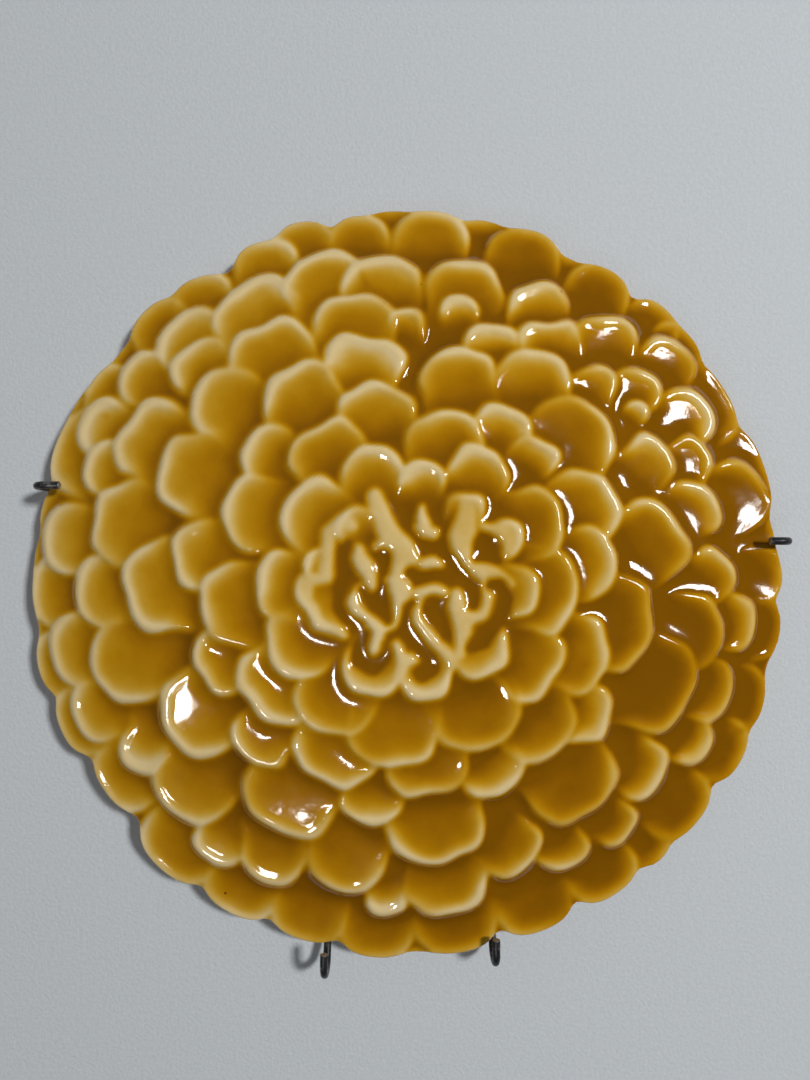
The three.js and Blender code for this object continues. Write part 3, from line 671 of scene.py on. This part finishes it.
def make_mask(mask: Mask) -> bpy.types.NodeTree:
    """Builds one shared node group that puts out a mask from 0 to 1.

    Args:
        mask: which effect to build.

    Returns:
        The node group, made once and found again later.
    """
    found = bpy.data.node_groups.get(mask.value)
    if found:
        return found
    tree = bpy.data.node_groups.new(mask.value, "ShaderNodeTree")
    for name, value in (("Scale", 40.0), ("Low", 0.35), ("High", 0.65)):
        made = tree.interface.new_socket(name, in_out="INPUT", socket_type="NodeSocketFloat")
        made.default_value = value
    tree.interface.new_socket("Mask", in_out="OUTPUT", socket_type="NodeSocketFloat")
    graph = Graph(tree)
    inlet = tree.nodes.new("NodeGroupInput").outputs
    outlet = tree.nodes.new("NodeGroupOutput").inputs
    where = graph.node("TexCoord").outputs["Object"]
    if mask is Mask.MOTTLE:
        noise = graph.node("TexNoise", Vector=where, Scale=inlet["Scale"], Detail=5, Roughness=0.55)
        value = noise.outputs["Fac"]
    else:
        cells = graph.node("TexVoronoi", Vector=where, Scale=inlet["Scale"], Randomness=1)
        value = cells.outputs["Distance"]
    spread = graph.node("MapRange", Value=value, From_Min=inlet["Low"], From_Max=inlet["High"])
    spread.interpolation_type = "SMOOTHSTEP"
    graph.fill(outlet["Mask"], spread.outputs["Result"])
    return tree


class Finish(Graph):
    """A material under construction round its Principled shader."""

    def __init__(self, name: str) -> None:
        """Starts a plain material."""
        self.material = bpy.data.materials.new(name)
        self.material.use_nodes = True
        super().__init__(self.material.node_tree)
        self.shader = self.tree.nodes["Principled BSDF"]

    def set(self, name: str, value: Socket | float) -> None:
        """Fills one of the shader's inputs."""
        self.fill(self.shader.inputs[name], value)

    def mask(self, mask: Mask, scale: float, low: float, high: float) -> Socket:
        """Places a shared mask with its own values and gives its output."""
        made = self.node("Group")
        made.node_tree = make_mask(mask)
        for name, value in (("Scale", scale), ("Low", low), ("High", high)):
            made.inputs[name].default_value = value
        return made.outputs["Mask"]

    def mottle(self, scale: float, low: float, high: float) -> Socket:
        """A cloudy mask, spread to low..high."""
        return self.span(self.mask(Mask.MOTTLE, scale, 0.3, 0.7), low, high)

    def attribute(self, name: str) -> Socket:
        """Reads a number stored on the mesh."""
        made = self.node("Attribute")
        made.attribute_name = name
        return made.outputs["Fac"]

    def ramp(self, value: Socket, stops: tuple[tuple[float, Colour], ...]) -> Socket:
        """Turns a number into a colour, by a smooth curve that runs near the listed stops."""
        made = self.node("ValToRGB", Fac=value)
        made.color_ramp.interpolation = "B_SPLINE"
        elements = made.color_ramp.elements
        while len(elements) < len(stops):
            elements.new(0.5)
        for element, (position, colour) in zip(elements, stops):
            element.position = position
            element.color = (*colour, 1)
        return made.outputs["Color"]

    def blend(self, share: Socket, first: Socket | Colour, second: Socket | Colour) -> Socket:
        """Mixes two colours by a share of the second."""
        made = self.node("Mix", Factor=share)
        made.data_type = "RGBA"
        slots = [socket for socket in made.inputs if socket.type == "RGBA"]
        self.fill(slots[0], first)
        self.fill(slots[1], second)
        return next(socket for socket in made.outputs if socket.type == "RGBA")

    def bump(self, scale: float, depth: float) -> None:
        """Ripples the surface by a cloudy mask, with the depth in metres."""
        height = self.mask(Mask.MOTTLE, scale, 0.2, 0.8)
        made = self.node("Bump", Strength=1.0, Distance=depth, Height=height)
        self.set("Normal", made.outputs["Normal"])


@dataclass(frozen=True)
class AmberGlaze:
    """A glossy honey-amber glaze: cream where it runs thin on the crests, brown where it pools."""

    stops: tuple[tuple[float, Colour], ...] = (
        (0.00, (0.80, 0.63, 0.34)),
        (0.15, (0.71, 0.50, 0.17)),
        (0.32, (0.62, 0.365, 0.036)),
        (0.50, (0.54, 0.265, 0.003)),
        (0.68, (0.42, 0.18, 0.001)),
        (0.85, (0.30, 0.118, 0.0010)),
        (1.00, (0.205, 0.080, 0.0008)),
    )
    bare_clay: Colour = (0.46, 0.36, 0.25)
    speck: Colour = (0.10, 0.04, 0.008)
    bare_rougher: float = 0.7
    refraction: float = 1.52

    def material(self) -> bpy.types.Material:
        """Builds the glaze. Its depth, which also holds painted shade towards the right and bottom,
        comes from the mesh, and is stirred by two cloudy masks.
        """
        finish = Finish("amber_glaze")
        depth = finish.math("ADD", finish.attribute("pool"), finish.mottle(28, -0.05, 0.05))
        depth = finish.math("ADD", depth, finish.mottle(160, -0.025, 0.025), clamp=True)
        specks = finish.span(finish.mask(Mask.SPECKS, 80, 0.03, 0.05), 1, 0)
        specks = finish.math("MULTIPLY", specks, finish.mask(Mask.MOTTLE, 21, 0.56, 0.58))
        bare = finish.attribute("bare")
        colour = finish.blend(specks, finish.ramp(depth, self.stops), self.speck)
        finish.set("Base Color", finish.blend(bare, colour, self.bare_clay))
        rougher = finish.math("MULTIPLY", bare, self.bare_rougher)
        finish.set("Roughness", finish.math("ADD", finish.mottle(90, 0.05, 0.12), rougher))
        finish.set("IOR", self.refraction)
        finish.bump(110, 0.00006)
        return finish.material


@dataclass(frozen=True)
class BlackWire:
    """Blackened steel wire, rubbed to bright metal in small patches, and pale at its cut ends: bare
    steel there, and a painted highlight.
    """

    black: Colour = (0.040, 0.041, 0.045)
    worn_and_glint: Colour = (0.30, 0.29, 0.28)

    def material(self) -> bpy.types.Material:
        """Builds the wire's finish."""
        finish = Finish("black_wire")
        wear_and_glint = finish.math("MULTIPLY", finish.mask(Mask.MOTTLE, 420, 0.52, 0.72),
                           finish.mask(Mask.MOTTLE, 70, 0.4, 0.6))
        # The cut ends take the pale metal colour too: bare steel, and a painted highlight.
        wear_and_glint = finish.math("MAXIMUM", wear_and_glint, finish.attribute("cut"))
        finish.set("Base Color", finish.blend(wear_and_glint, self.black, self.worn_and_glint))
        finish.set("Roughness", finish.mottle(900, 0.28, 0.45))
        finish.set("Metallic", 0.65)
        finish.bump(1500, 0.00003)
        return finish.material


@dataclass(frozen=True)
class SpringSteel:
    """Dull drawn steel with darker patches in its coils."""

    bright: Colour = (0.42, 0.42, 0.43)
    dull: Colour = (0.16, 0.15, 0.145)

    def material(self) -> bpy.types.Material:
        """Builds the spring's finish."""
        finish = Finish("spring_steel")
        stain = finish.mask(Mask.MOTTLE, 160, 0.35, 0.7)
        finish.set("Base Color", finish.blend(stain, self.bright, self.dull))
        finish.set("Roughness", finish.mottle(700, 0.25, 0.45))
        finish.set("Metallic", 1.0)
        finish.bump(1200, 0.00002)
        return finish.material


# ---------------------------------------------------------------- plaque

@dataclass
class Plaque:
    """The cast body: a domed front of petals, a rounded lip, and a hollow back with a foot ring."""

    relief: Relief
    foot_height: float
    radius: float = 125.0
    dome_rise: float = 19.0
    dome_power: float = 2.2
    wall: float = 6.0               # thickness of the body behind the petals
    rim_above_foot: float = 5.55
    lip_above_foot: float = 1.55    # back corner of the lip
    lip_round: float = 1.4          # how far the lip's front edge is rounded back
    lip_corner: float = 0.8         # radius of its back corner
    foot_outer: float = 114.3
    foot_inner: float = 108.0
    back_rings: tuple[float, ...] = (90, 70, 50, 32, 16, 6)
    across: int = 291               # points along each side of the front's grid
    back_pool: Pair = (0.8, 0.66)
    finish: AmberGlaze = field(default_factory=AmberGlaze)

    def dome(self, radius: Array | float) -> Array | float:
        """Height of the plain dome: the rim height plus the rise times 1 - (r / R)^power."""
        rim_height = self.foot_height + self.rim_above_foot
        return rim_height + self.dome_rise * (1 - (radius / self.radius) ** self.dome_power)

    def front(self, x: Array, z: Array) -> Array:
        """Height of the front off the wall: the dome plus the glazed relief."""
        return self.dome(np.hypot(x, z)) + self.relief.sample(self.relief.skin, x, z)

    def front_grid(self) -> tuple[Array, Array]:
        """Lays a square grid out over the plaque, its edge on the outline.

        The square is bent into a disc by concentric squares: the larger of |u| and |v| is the
        share of the radius, and their quotient gives the angle. The scallops fade inwards.

        Returns:
            The places across and up, each a square array in millimetres.
        """
        side = np.linspace(-1, 1, self.across)
        u, v = np.meshgrid(side, side)
        flat = np.abs(u) > np.abs(v)
        u_safe = np.where(flat, u, 1)
        v_safe = np.where(flat | (v == 0), 1, v)
        angle = np.where(flat, math.pi / 4 * v / u_safe, math.pi / 2 - math.pi / 4 * u / v_safe)
        signed = np.where(flat, u, v)
        x, z = signed * np.cos(angle), signed * np.sin(angle)
        edge = self.relief.outline(np.degrees(np.arctan2(x, z))) - self.relief.edge_inset
        stretch = self.radius + (edge - self.radius) * np.hypot(x, z)**6
        return x * stretch, z * stretch

    def back_profile(self) -> list[Triple]:
        """The back from the lip inwards, as radius, height off the wall and share of bare clay: up
        to the body, over the foot ring with its small corners, and along the hollow."""
        outer, inner, foot = self.foot_outer, self.foot_inner, self.foot_height
        under = self.dome(outer) - self.wall
        profile = [
            (118.5, under - 0.5, 0), (outer + 1.4, under, 0), (outer + 0.5, under - 0.6, 0),
            (outer + 0.35, foot + 0.5, 0.4), (outer - 0.3, foot, 1),
            (inner + 0.3, foot, 1), (inner - 0.35, foot + 0.5, 0.4),
            (inner - 0.8, self.dome(inner) - self.wall - 0.8, 0),
            (inner - 2.2, self.dome(inner - 2.2) - self.wall, 0),
        ]
        return profile + [(r, self.dome(r) - self.wall, 0) for r in self.back_rings]

    def lip_and_back(self, edge: Array) -> tuple[Array, Array]:
        """Rings from the front's edge over the lip, across the back and into its middle.

        The lip's front is a quarter ellipse, its side is straight, and its back corner is a small
        quarter round.

        Args:
            edge: the front's edge, as [x, height off the wall, z] for each place.

        Returns:
            The rings as (ring, place, [x, height, z]), and each ring's share of bare clay.
        """
        x, height, z = edge.T
        radius = np.hypot(x, z)
        outline = radius + self.relief.edge_inset
        lip = self.foot_height + self.lip_above_foot
        even = np.ones_like(radius)
        rings: list[tuple[Array, Array, float]] = []
        for turn in np.radians([20, 40, 60, 80, 90]):
            rings.append((radius + self.relief.edge_inset * np.sin(turn),
                          height - self.lip_round * (1 - np.cos(turn)), 0))
        for turn in np.radians([0, 45, 90]):
            rings.append((outline - self.lip_corner * (1 - np.cos(turn)),
                          even * (lip + self.lip_corner * (1 - np.sin(turn))), 0))
        rings += [(even * r, even * h, bare) for r, h, bare in self.back_profile()]
        placed = [np.stack([x / radius * r, h, z / radius * r], axis=1) for r, h, _ in rings]
        return np.stack(placed), np.array([bare for _, _, bare in rings], dtype=float)

    def front_normals(self, x: Array, z: Array, reach: float = 0.4) -> Array:
        """Directions square to the front, from its change in height over a short reach."""
        slope_x = (self.front(x + reach, z) - self.front(x - reach, z)) / (2 * reach)
        slope_z = (self.front(x, z + reach) - self.front(x, z - reach)) / (2 * reach)
        square = np.stack([-slope_x.ravel(), -np.ones(x.size), -slope_z.ravel()], axis=1)
        return square / np.linalg.norm(square, axis=1, keepdims=True)

    def joining(self, fine: Array, coarse: Array) -> Array:
        """Triangles between a ring of vertices and one with a quarter as many."""
        f = np.append(fine, fine[0])
        near, far = coarse, np.roll(coarse, -1)
        parts = [f[k:k + len(fine):BACK_STEP][:len(coarse)] for k in range(BACK_STEP + 1)]
        faces = [(parts[1], parts[0], near), (parts[2], parts[1], near), (far, parts[2], near),
                 (parts[3], parts[2], far), (parts[4], parts[3], far)]
        return np.concatenate([np.stack(face, axis=1) for face in faces])

    def build(self) -> Object:
        """Makes the plaque's closed mesh, with its glaze depth, painted shade included, and bare clay
        as attributes.
        """
        x, z = self.front_grid()
        number = np.arange(x.size).reshape(x.shape)
        edge = np.concatenate([number[0, :-1], number[:-1, -1],
                               number[-1, :0:-1], number[:0:-1, 0]])
        front = np.stack([x.ravel(), self.front(x, z).ravel(), z.ravel()], axis=1)
        rings, bare = self.lip_and_back(front[edge])
        fine, coarse = rings[:LIP_RINGS], rings[LIP_RINGS:, ::BACK_STEP]
        hub = np.array([[0, self.dome(0) - self.wall, 0]])
        points = np.concatenate([front, fine.reshape(-1, 3), coarse.reshape(-1, 3), hub])
        normals = np.zeros_like(points)
        normals[:len(front)] = self.front_normals(x, z)
        normals[edge] = 0

        grid = np.stack([number[:-1, :-1], number[:-1, 1:],
                         number[1:, 1:], number[1:, :-1]], axis=-1)
        lip = len(front) + np.arange(fine[..., 0].size).reshape(fine.shape[:2])
        back = lip[-1, -1] + 1 + np.arange(coarse[..., 0].size).reshape(coarse.shape[:2])
        rows = [edge, *lip]
        quads = [grid.reshape(-1, 4)] + [ring_quads(b, a) for a, b in zip(rows, rows[1:])]
        quads += [ring_quads(b, a) for a, b in zip(back, back[1:])]
        triangles = [self.joining(lip[-1], back[0]), fan(back[-1, ::-1], len(points) - 1)]
        made = new_object("plaque_glazed", in_metres(points, -NAIL_TO_MIDDLE * MM),
                          np.concatenate(quads), np.concatenate(triangles), normals)

        pool = self.relief.sample(self.relief.pool, x, z).ravel()
        # Each lip ring's share of the depth at the front's edge, and the depth of its own.
        lip_share = np.array([0.85, 0.8, 0, 0, 0, 0, 0, 0])[:, None]
        lip_pool = np.array([0.0, 0.0, 0.62, 0.8, 0.92, 1.0, 0.95, 0.85])[:, None]
        back_pool = np.linspace(*self.back_pool, len(coarse))[:, None] * np.ones(back.shape[1])
        paint(made, "pool", np.concatenate([pool, (pool[edge] * lip_share + lip_pool).ravel(),
                                            back_pool.ravel(), self.back_pool[1:]]))
        back_bare = np.repeat(bare[LIP_RINGS:], back.shape[1])
        paint(made, "bare", np.concatenate([np.zeros(len(front) + lip.size), back_bare, [0]]))
        made.data.materials.append(self.finish.material())
        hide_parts("plaque")
        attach(made, "root")
        return made


# ---------------------------------------------------------------- hanger

def bend_at(before: Array, at: Array, after: Array) -> tuple[Array, Array, Array, float]:
    """Measures a corner of a path: the directions back, on and halfway between the two, and half
    the angle between them."""
    back = (before - at) / np.linalg.norm(before - at)
    on = (after - at) / np.linalg.norm(after - at)
    halfway = (back + on) / np.linalg.norm(back + on)
    return back, on, halfway, math.acos(float(np.clip(back @ on, -1, 1))) / 2


def rounded_path(corners: Corners, chord: float = 7.0) -> Array:
    """Walks through corners, each rounded by an arc of its own radius.

    Args:
        corners: the places in millimetres, each with the radius of its bend.
        chord: the turn between neighbouring points of an arc, in degrees.

    Returns:
        The points of the path, one row each.
    """
    path = [corners[0][0]]
    for (before, _), (at, bend), (after, _) in zip(corners, corners[1:], corners[2:]):
        back, on, halfway, half = bend_at(before, at, after)
        middle = at + halfway * bend / math.sin(half)
        first = at + back * bend / math.tan(half) - middle
        sideways = np.cross(np.cross(first, at + on * bend / math.tan(half) - middle), first)
        sideways *= bend / np.linalg.norm(sideways)
        sweep = math.pi - 2 * half
        turn = np.linspace(0, sweep, max(3, math.ceil(math.degrees(sweep) / chord) + 1))[:, None]
        path.extend(middle + first * np.cos(turn) + sideways * np.sin(turn))
    path.append(corners[-1][0])
    return np.array(path)


def swept_tube(name: str, path: Array, diameter: float, sides: int) -> Object:
    """Carries a circle along a path, with its cut ends slightly rounded.

    At each point the circle stands square to the path. Its first axis is the last one with the
    path's direction taken out, so that it doesn't twist.

    Args:
        name: the object's name.
        path: the centre line in millimetres, as [x, height off the wall, z].
        diameter: the tube's diameter in millimetres.
        sides: the number of points round the circle.

    Returns:
        The tube as a closed mesh.
    """
    direction = np.gradient(path, axis=0)
    direction /= np.linalg.norm(direction, axis=1, keepdims=True)
    ends = np.array(CUT_PLACES) * diameter / 2
    path = np.concatenate([path[0] + np.outer(ends, direction[0]), path[1:-1],
                           path[-1] - np.outer(ends[::-1], direction[-1])])
    direction = np.concatenate([np.repeat(direction[:1], 3, axis=0), direction[1:-1],
                                np.repeat(direction[-1:], 3, axis=0)])
    size = np.ones(len(path))
    size[[0, -1]], size[[1, -2]] = CUT_SIZES
    first = np.cross(direction[0], ASKEW)
    firsts = np.empty_like(direction)
    for i, along in enumerate(direction):
        first = first - along * (first @ along)
        first = first / np.linalg.norm(first)
        firsts[i] = first
    seconds = np.cross(direction, firsts)
    angle = np.linspace(0, 2 * math.pi, sides, endpoint=False)[None, :, None]
    ring = firsts[:, None] * np.cos(angle) + seconds[:, None] * np.sin(angle)
    points = path[:, None] + ring * (size * diameter / 2)[:, None, None]
    points = np.concatenate([points.reshape(-1, 3), path[[0, -1]]])
    loops = np.arange(len(path) * sides).reshape(len(path), sides)
    quads = np.concatenate([ring_quads(b, a) for a, b in zip(loops[:-1], loops[1:])])
    caps = np.concatenate([fan(loops[0], len(points) - 2), fan(loops[-1, ::-1], len(points) - 1)])
    made = new_object(name, in_metres(points, -NAIL_TO_MIDDLE * MM), quads, caps)
    # Marks the cut ends, which the wire's finish paints pale: bare steel, and a painted highlight.
    cut = np.zeros(len(points))
    cut[[*loops[0], *loops[1], *loops[-2], *loops[-1], -2, -1]] = 1
    paint(made, "cut", cut)
    return made


@dataclass(frozen=True)
class Hook:
    """One hook round the rim: its bearing, the way it points, its bend and its tip."""

    bearing: float
    out: Pair
    bend: float
    tip: float


@dataclass
class Hanger:
    """The sprung wire plate hanger: two bent wires and the two springs that pull them together."""

    plaque: Plaque
    wire: float = 2.6
    wire_off_wall: float = 2.7
    gap: float = 0.3
    lip_inset: float = 0.8          # how far the lip's back corner lies inside the outline
    hook_above_foot: float = 14.35
    hook_slope: float = 28.0        # degrees that the carrying leg leans off the wall
    hook_bend: float = 4.5
    seat_bend: float = 3.0
    eye: Pair = (44.0, 12.0)
    lower_eye: Pair = (30.0, -50.0)
    dip: float = -80.0
    eye_bend: float = 3.0
    peak_bend: float = 4.0
    dip_bend: float = 8.0
    wire_sides: int = 20
    spring: float = 6.0
    spring_wire: float = 0.9
    spring_height: float = 3.05
    spring_sides: int = 8
    loop_slack: float = 0.4
    loop_turn: Pair = (330, 20)  # degrees round which an end loop runs
    coil_pitch: float = 0.99
    coil_steps: int = 14
    left: Hook = Hook(285, (-1, 0), 2.4, 6.5)
    right: Hook = Hook(83.6, (1, 0), 2.0, 5.7)
    lower_left: Hook = Hook(192.7, (0, -1), 9.0, -0.5)
    lower_right: Hook = Hook(166.1, (0, -1), 7.5, 1.6)

    def hook_corners(self, hook: Hook) -> Corners:
        """Corners of one hook: its tip, two bends round the rim, and the bend behind the rim."""
        rim = float(self.plaque.relief.outline(np.array(hook.bearing)))
        angle = math.radians(hook.bearing)
        seat = (rim * math.sin(angle), rim * math.cos(angle))
        foot = self.plaque.foot_height
        front = foot + self.hook_above_foot
        slope = math.radians(self.hook_slope)
        touch = self.wire / 2 + self.gap
        carry = touch * math.sin(slope) - self.lip_inset
        carry_height = foot + self.plaque.lip_above_foot - touch * math.cos(slope)

        def corner(beyond: float, height: float, bend: float) -> tuple[Array, float]:
            """A corner at a distance outside the rim and a height off the wall."""
            across, up = seat[0] + hook.out[0] * beyond, seat[1] + hook.out[1] * beyond
            return np.array([across, height, up]), bend

        return [
            corner(-hook.tip, front, 0),
            corner(hook.bend, front, self.hook_bend),
            corner(hook.bend, carry_height + (hook.bend - carry) * math.tan(slope), self.hook_bend),
            corner(carry - (carry_height - self.wire_off_wall) / math.tan(slope),
                   self.wire_off_wall, self.seat_bend),
        ]

    @property
    def peak(self) -> float:
        """Height of the peak's sharp corner, so that its rounded underside is the nail point."""
        height = NAIL_TO_MIDDLE
        for _ in range(8):
            half = math.atan2(self.eye[0], height - self.eye[1])
            height = NAIL_TO_MIDDLE + self.wire / 2 + self.peak_bend * (1 / math.sin(half) - 1)
        return height

    def wire_corners(self, hooks: tuple[Hook, Hook], eye: Pair, middle: float,
                     bend: float) -> Corners:
        """Corners of a whole wire: a hook, an eye, the middle, an eye and a hook.

        Args:
            hooks: the left and the right hook.
            eye: how far across and up the bends lie that the springs pull on.
            middle: height of the sharp corner in the middle.
            bend: radius of its bend.

        Returns:
            The places in millimetres, each with the radius of its bend.
        """
        (x, z), off = eye, self.wire_off_wall
        behind = [(np.array([-x, off, z]), self.eye_bend), (np.array([0, off, middle]), bend),
                  (np.array([x, off, z]), self.eye_bend)]
        return [*self.hook_corners(hooks[0]), *behind, *reversed(self.hook_corners(hooks[1]))]

    @property
    def upper_corners(self) -> Corners:
        """Corners of the upper wire, from its left hook to its right one."""
        return self.wire_corners((self.left, self.right), self.eye, self.peak, self.peak_bend)

    @property
    def lower_corners(self) -> Corners:
        """Corners of the lower wire, from its left hook to its right one."""
        hooks = (self.lower_left, self.lower_right)
        return self.wire_corners(hooks, self.lower_eye, self.dip, self.dip_bend)

    def bend_middle(self, corners: Corners, index: int) -> Array:
        """Where the middle of a rounded bend lies on the wire's centre line."""
        at, bend = corners[index]
        _, _, halfway, half = bend_at(corners[index - 1][0], at, corners[index + 1][0])
        return at + halfway * (bend / math.sin(half) - bend)

    def spring_path(self, index: int) -> Array:
        """Centre line of a spring's wire: a loop, a spiral out, the coils, a spiral in and a loop.

        A coil point is axis + R (cos t * side + sin t * depth), moving on by one pitch a turn. The
        end loops are circles round the bends of the wires, in the plane of the axis and the depth.

        Args:
            index: the place of the bend in both lists of corners.

        Returns:
            The points of the path, one row each.
        """
        start = self.bend_middle(self.upper_corners, index)
        stop = self.bend_middle(self.lower_corners, index)
        start[1] = stop[1] = self.spring_height
        along = (stop - start) / np.linalg.norm(stop - start)
        start, stop = start + along * self.loop_slack, stop - along * self.loop_slack
        depth = np.array([0.0, 1.0, 0.0])
        side = np.cross(along, depth)
        coil = (self.spring - self.spring_wire) / 2
        length = np.linalg.norm(stop - start) - 2 * coil - self.coil_pitch
        turns = round(length / self.coil_pitch)
        turn = np.linspace(0, 2 * math.pi * turns, turns * self.coil_steps + 1)
        grow = np.clip(np.minimum(turn, turn[-1] - turn) / math.pi, 0, 1)
        reach = coil * np.sin(grow * math.pi / 2)
        shift = (coil + self.coil_pitch / 2 + length * turn / turn[-1])[:, None]
        coils = (start + along * shift + side * (reach * np.cos(turn))[:, None]
                 + depth * (reach * np.sin(turn))[:, None])
        swing = np.radians(np.linspace(*self.loop_turn, 26))[:, None]
        head = start + coil * (along * np.cos(swing) + depth * np.sin(swing))
        foot = stop - coil * (along * np.cos(swing[::-1]) + depth * np.sin(swing[::-1]))
        return np.concatenate([head, coils, foot])

    def dress(self, made: Object, node: str,
              material: bpy.types.Material) -> Object:
        """Gives a piece its finish and puts it in the place of its node."""
        made.data.materials.append(material)
        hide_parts(node)
        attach(made, "root")
        return made

    def build(self) -> list[Object]:
        """Makes both wires and both springs."""
        black, steel = BlackWire().material(), SpringSteel().material()
        made = []
        for name, corners in (("upper", self.upper_corners), ("lower", self.lower_corners)):
            tube = swept_tube(f"{name}_wire_round", rounded_path(corners), self.wire,
                              self.wire_sides)
            made.append(self.dress(tube, f"{name}_hanger_wire", black))
        for name, index in (("left", LEFT_EYE), ("right", RIGHT_EYE)):
            coil = swept_tube(f"{name}_spring_coiled", self.spring_path(index), self.spring_wire,
                              self.spring_sides)
            made.append(self.dress(coil, f"{name}_spring", steel))
        return made


# ---------------------------------------------------------------- studio

@dataclass(frozen=True)
class Lamp:
    """A rectangular light that faces the plaque, in metres and watts."""

    name: str
    toward: Triple
    distance: float
    size: Pair
    power: float
    colour: Colour = (1.0, 1.0, 1.0)
    mirrored: bool = False      # whether glossy surfaces show it
    lighting: bool = True       # whether matt surfaces are lit by it

    def build(self, middle: Vector) -> None:
        """Makes the light, facing the given place."""
        data = bpy.data.lights.new(self.name, "AREA")
        data.shape = "RECTANGLE"
        data.size, data.size_y = self.size
        data.energy = self.power
        data.color = self.colour
        made = bpy.data.objects.new(self.name, data)
        bpy.context.scene.collection.objects.link(made)
        way = Vector(self.toward).normalized()
        made.location = middle + way * self.distance
        made.rotation_euler = way.to_track_quat("Z", "Y").to_euler()
        made.visible_glossy = self.mirrored
        made.visible_diffuse = self.lighting


@dataclass
class Studio:
    """A pale wall behind the plaque, a pale floor below it, soft light and the camera."""

    wall_colour: Colour = (0.585, 0.625, 0.66)
    floor_colour: Colour = (0.60, 0.60, 0.59)
    floor_z: float = -0.9
    sky_side: Triple = (-0.72, -0.20, 0.66)
    sky_levels: Pair = (0.01, 0.22)
    sky_mirrored: float = 0.15
    sky_seen: float = 0.62
    sky_colour: Colour = (0.92, 0.96, 1.0)
    camera_place: Triple = (-0.00067, -0.28235, 0.01418)    # from the middle
    focal: float = 27.03
    lamps: tuple[Lamp, ...] = (
        Lamp("key", (0.58, -1.0, 0.26), 1.50, (0.18, 0.18), 16.3, (1.0, 0.985, 0.96)),
        Lamp("glint", (0.63, -0.74, 0.20), 2.0, (0.36, 0.38), 14.5, (1.0, 0.99, 0.97), True, False),
        Lamp("low_fill", (-0.35, -1.0, -0.60), 2.0, (0.8, 0.8), 2.5, (1.0, 0.97, 0.93)),
        Lamp("low_glint", (-0.33, -1.0, -0.40), 2.0, (0.22, 0.15), 7, (1.0, 0.97, 0.93), True,
             False),
        Lamp("back", (0.3, 1.0, 0.5), 2.0, (1.5, 1.5), 40, mirrored=True),
    )

    def plain_surface(self, name: str, corners: list[Triple],
                      colour: Colour, mirrored: bool) -> Object:
        """A flat surface that shows from its front side alone, and doesn't block light behind it.

        Args:
            name: the object's name.
            corners: its four corners in metres, counter-clockwise from the front.
            colour: its colour.
            mirrored: whether glossy surfaces show it.

        Returns:
            The surface.
        """
        no_triangles = np.empty((0, 3), dtype=int)
        made = new_object(name, np.array(corners), np.array([[0, 1, 2, 3]]), no_triangles)
        finish = Finish(name)
        darker, paler = (tuple(share * c for c in colour) for share in (0.97, 1.03))
        finish.set("Base Color", finish.blend(finish.mottle(700, 0, 1), darker, paler))
        finish.set("Roughness", 0.9)
        finish.set("Specular IOR Level", 0.1)
        finish.bump(900, 0.00012)
        rays = finish.node("LightPath").outputs
        turned_away = finish.node("NewGeometry").outputs["Backfacing"]
        glossy = finish.math("MULTIPLY", rays["Is Glossy Ray"], float(mirrored))
        seen = finish.math("ADD", rays["Is Camera Ray"], glossy, clamp=True)
        shown = finish.math("MULTIPLY", seen, finish.math("SUBTRACT", 1.0, turned_away))
        mix = finish.node("MixShader")
        for target, value in zip(mix.inputs, (shown, finish.node("BsdfTransparent").outputs[0],
                                              finish.shader.outputs[0])):
            finish.fill(target, value)
        finish.fill(finish.tree.nodes["Material Output"].inputs["Surface"], mix.outputs[0])
        made.data.materials.append(finish.material)
        return made

    def sky(self) -> bpy.types.World:
        """A plain sky that lights more from the upper left, is dim where it is mirrored, and is
        evenly pale where it is seen."""
        world = bpy.data.worlds.new("pale_sky")
        world.use_nodes = True
        graph = Graph(world.node_tree)
        across = graph.node("VectorMath")
        across.operation = "DOT_PRODUCT"
        graph.fill(across.inputs[0], graph.node("TexCoord").outputs["Generated"])
        graph.fill(across.inputs[1], self.sky_side)
        low, high = self.sky_levels
        level = graph.node("MapRange", Value=across.outputs["Value"], From_Min=-1, To_Min=low,
                           To_Max=high)
        rays = graph.node("LightPath").outputs
        dim = graph.span(rays["Is Glossy Ray"], 1, self.sky_mirrored)
        strength = graph.math("MULTIPLY", level.outputs["Result"], dim)
        seen = graph.node("Mix", Factor=rays["Is Camera Ray"], A=strength, B=self.sky_seen)
        backdrop = world.node_tree.nodes["Background"]
        graph.fill(backdrop.inputs["Color"], self.sky_colour)
        graph.fill(backdrop.inputs["Strength"], seen.outputs["Result"])
        return world

    def build(self) -> None:
        """Makes the wall, floor, lights, sky and camera."""
        low, middle = self.floor_z, Vector((0, 0, -NAIL_TO_MIDDLE * MM))
        self.plain_surface("plain_wall", [(-2, 0, low), (2, 0, low), (2, 0, 1.4), (-2, 0, 1.4)],
                           self.wall_colour, True)
        self.plain_surface("plain_floor", [(-3, -3, low), (3, -3, low), (3, 3, low), (-3, 3, low)],
                           self.floor_colour, False)
        for lamp in self.lamps:
            lamp.build(middle)
        scene = bpy.context.scene
        scene.view_settings.view_transform = "Standard"
        scene.world = self.sky()
        data = bpy.data.cameras.new("camera")
        data.lens = self.focal
        data.clip_start = 0.01
        camera = bpy.data.objects.new("camera", data)
        scene.collection.objects.link(camera)
        camera.location = middle + Vector(self.camera_place)
        camera.rotation_euler = (math.pi / 2, 0, 0)
        scene.camera = camera


def main() -> None:
    """Builds every piece in order."""
    logging.basicConfig(level=logging.INFO, format="%(name)s: %(message)s")
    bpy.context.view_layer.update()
    _, foot_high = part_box("plaque")
    plaque = Plaque(Relief(), foot_height=-foot_high.y / MM)
    for piece in [plaque.build(), *Hanger(plaque).build()]:
        LOG.info("%s: %d faces", piece.name, len(piece.data.polygons))
    Studio().build()


if __name__ == "__main__":
    main()
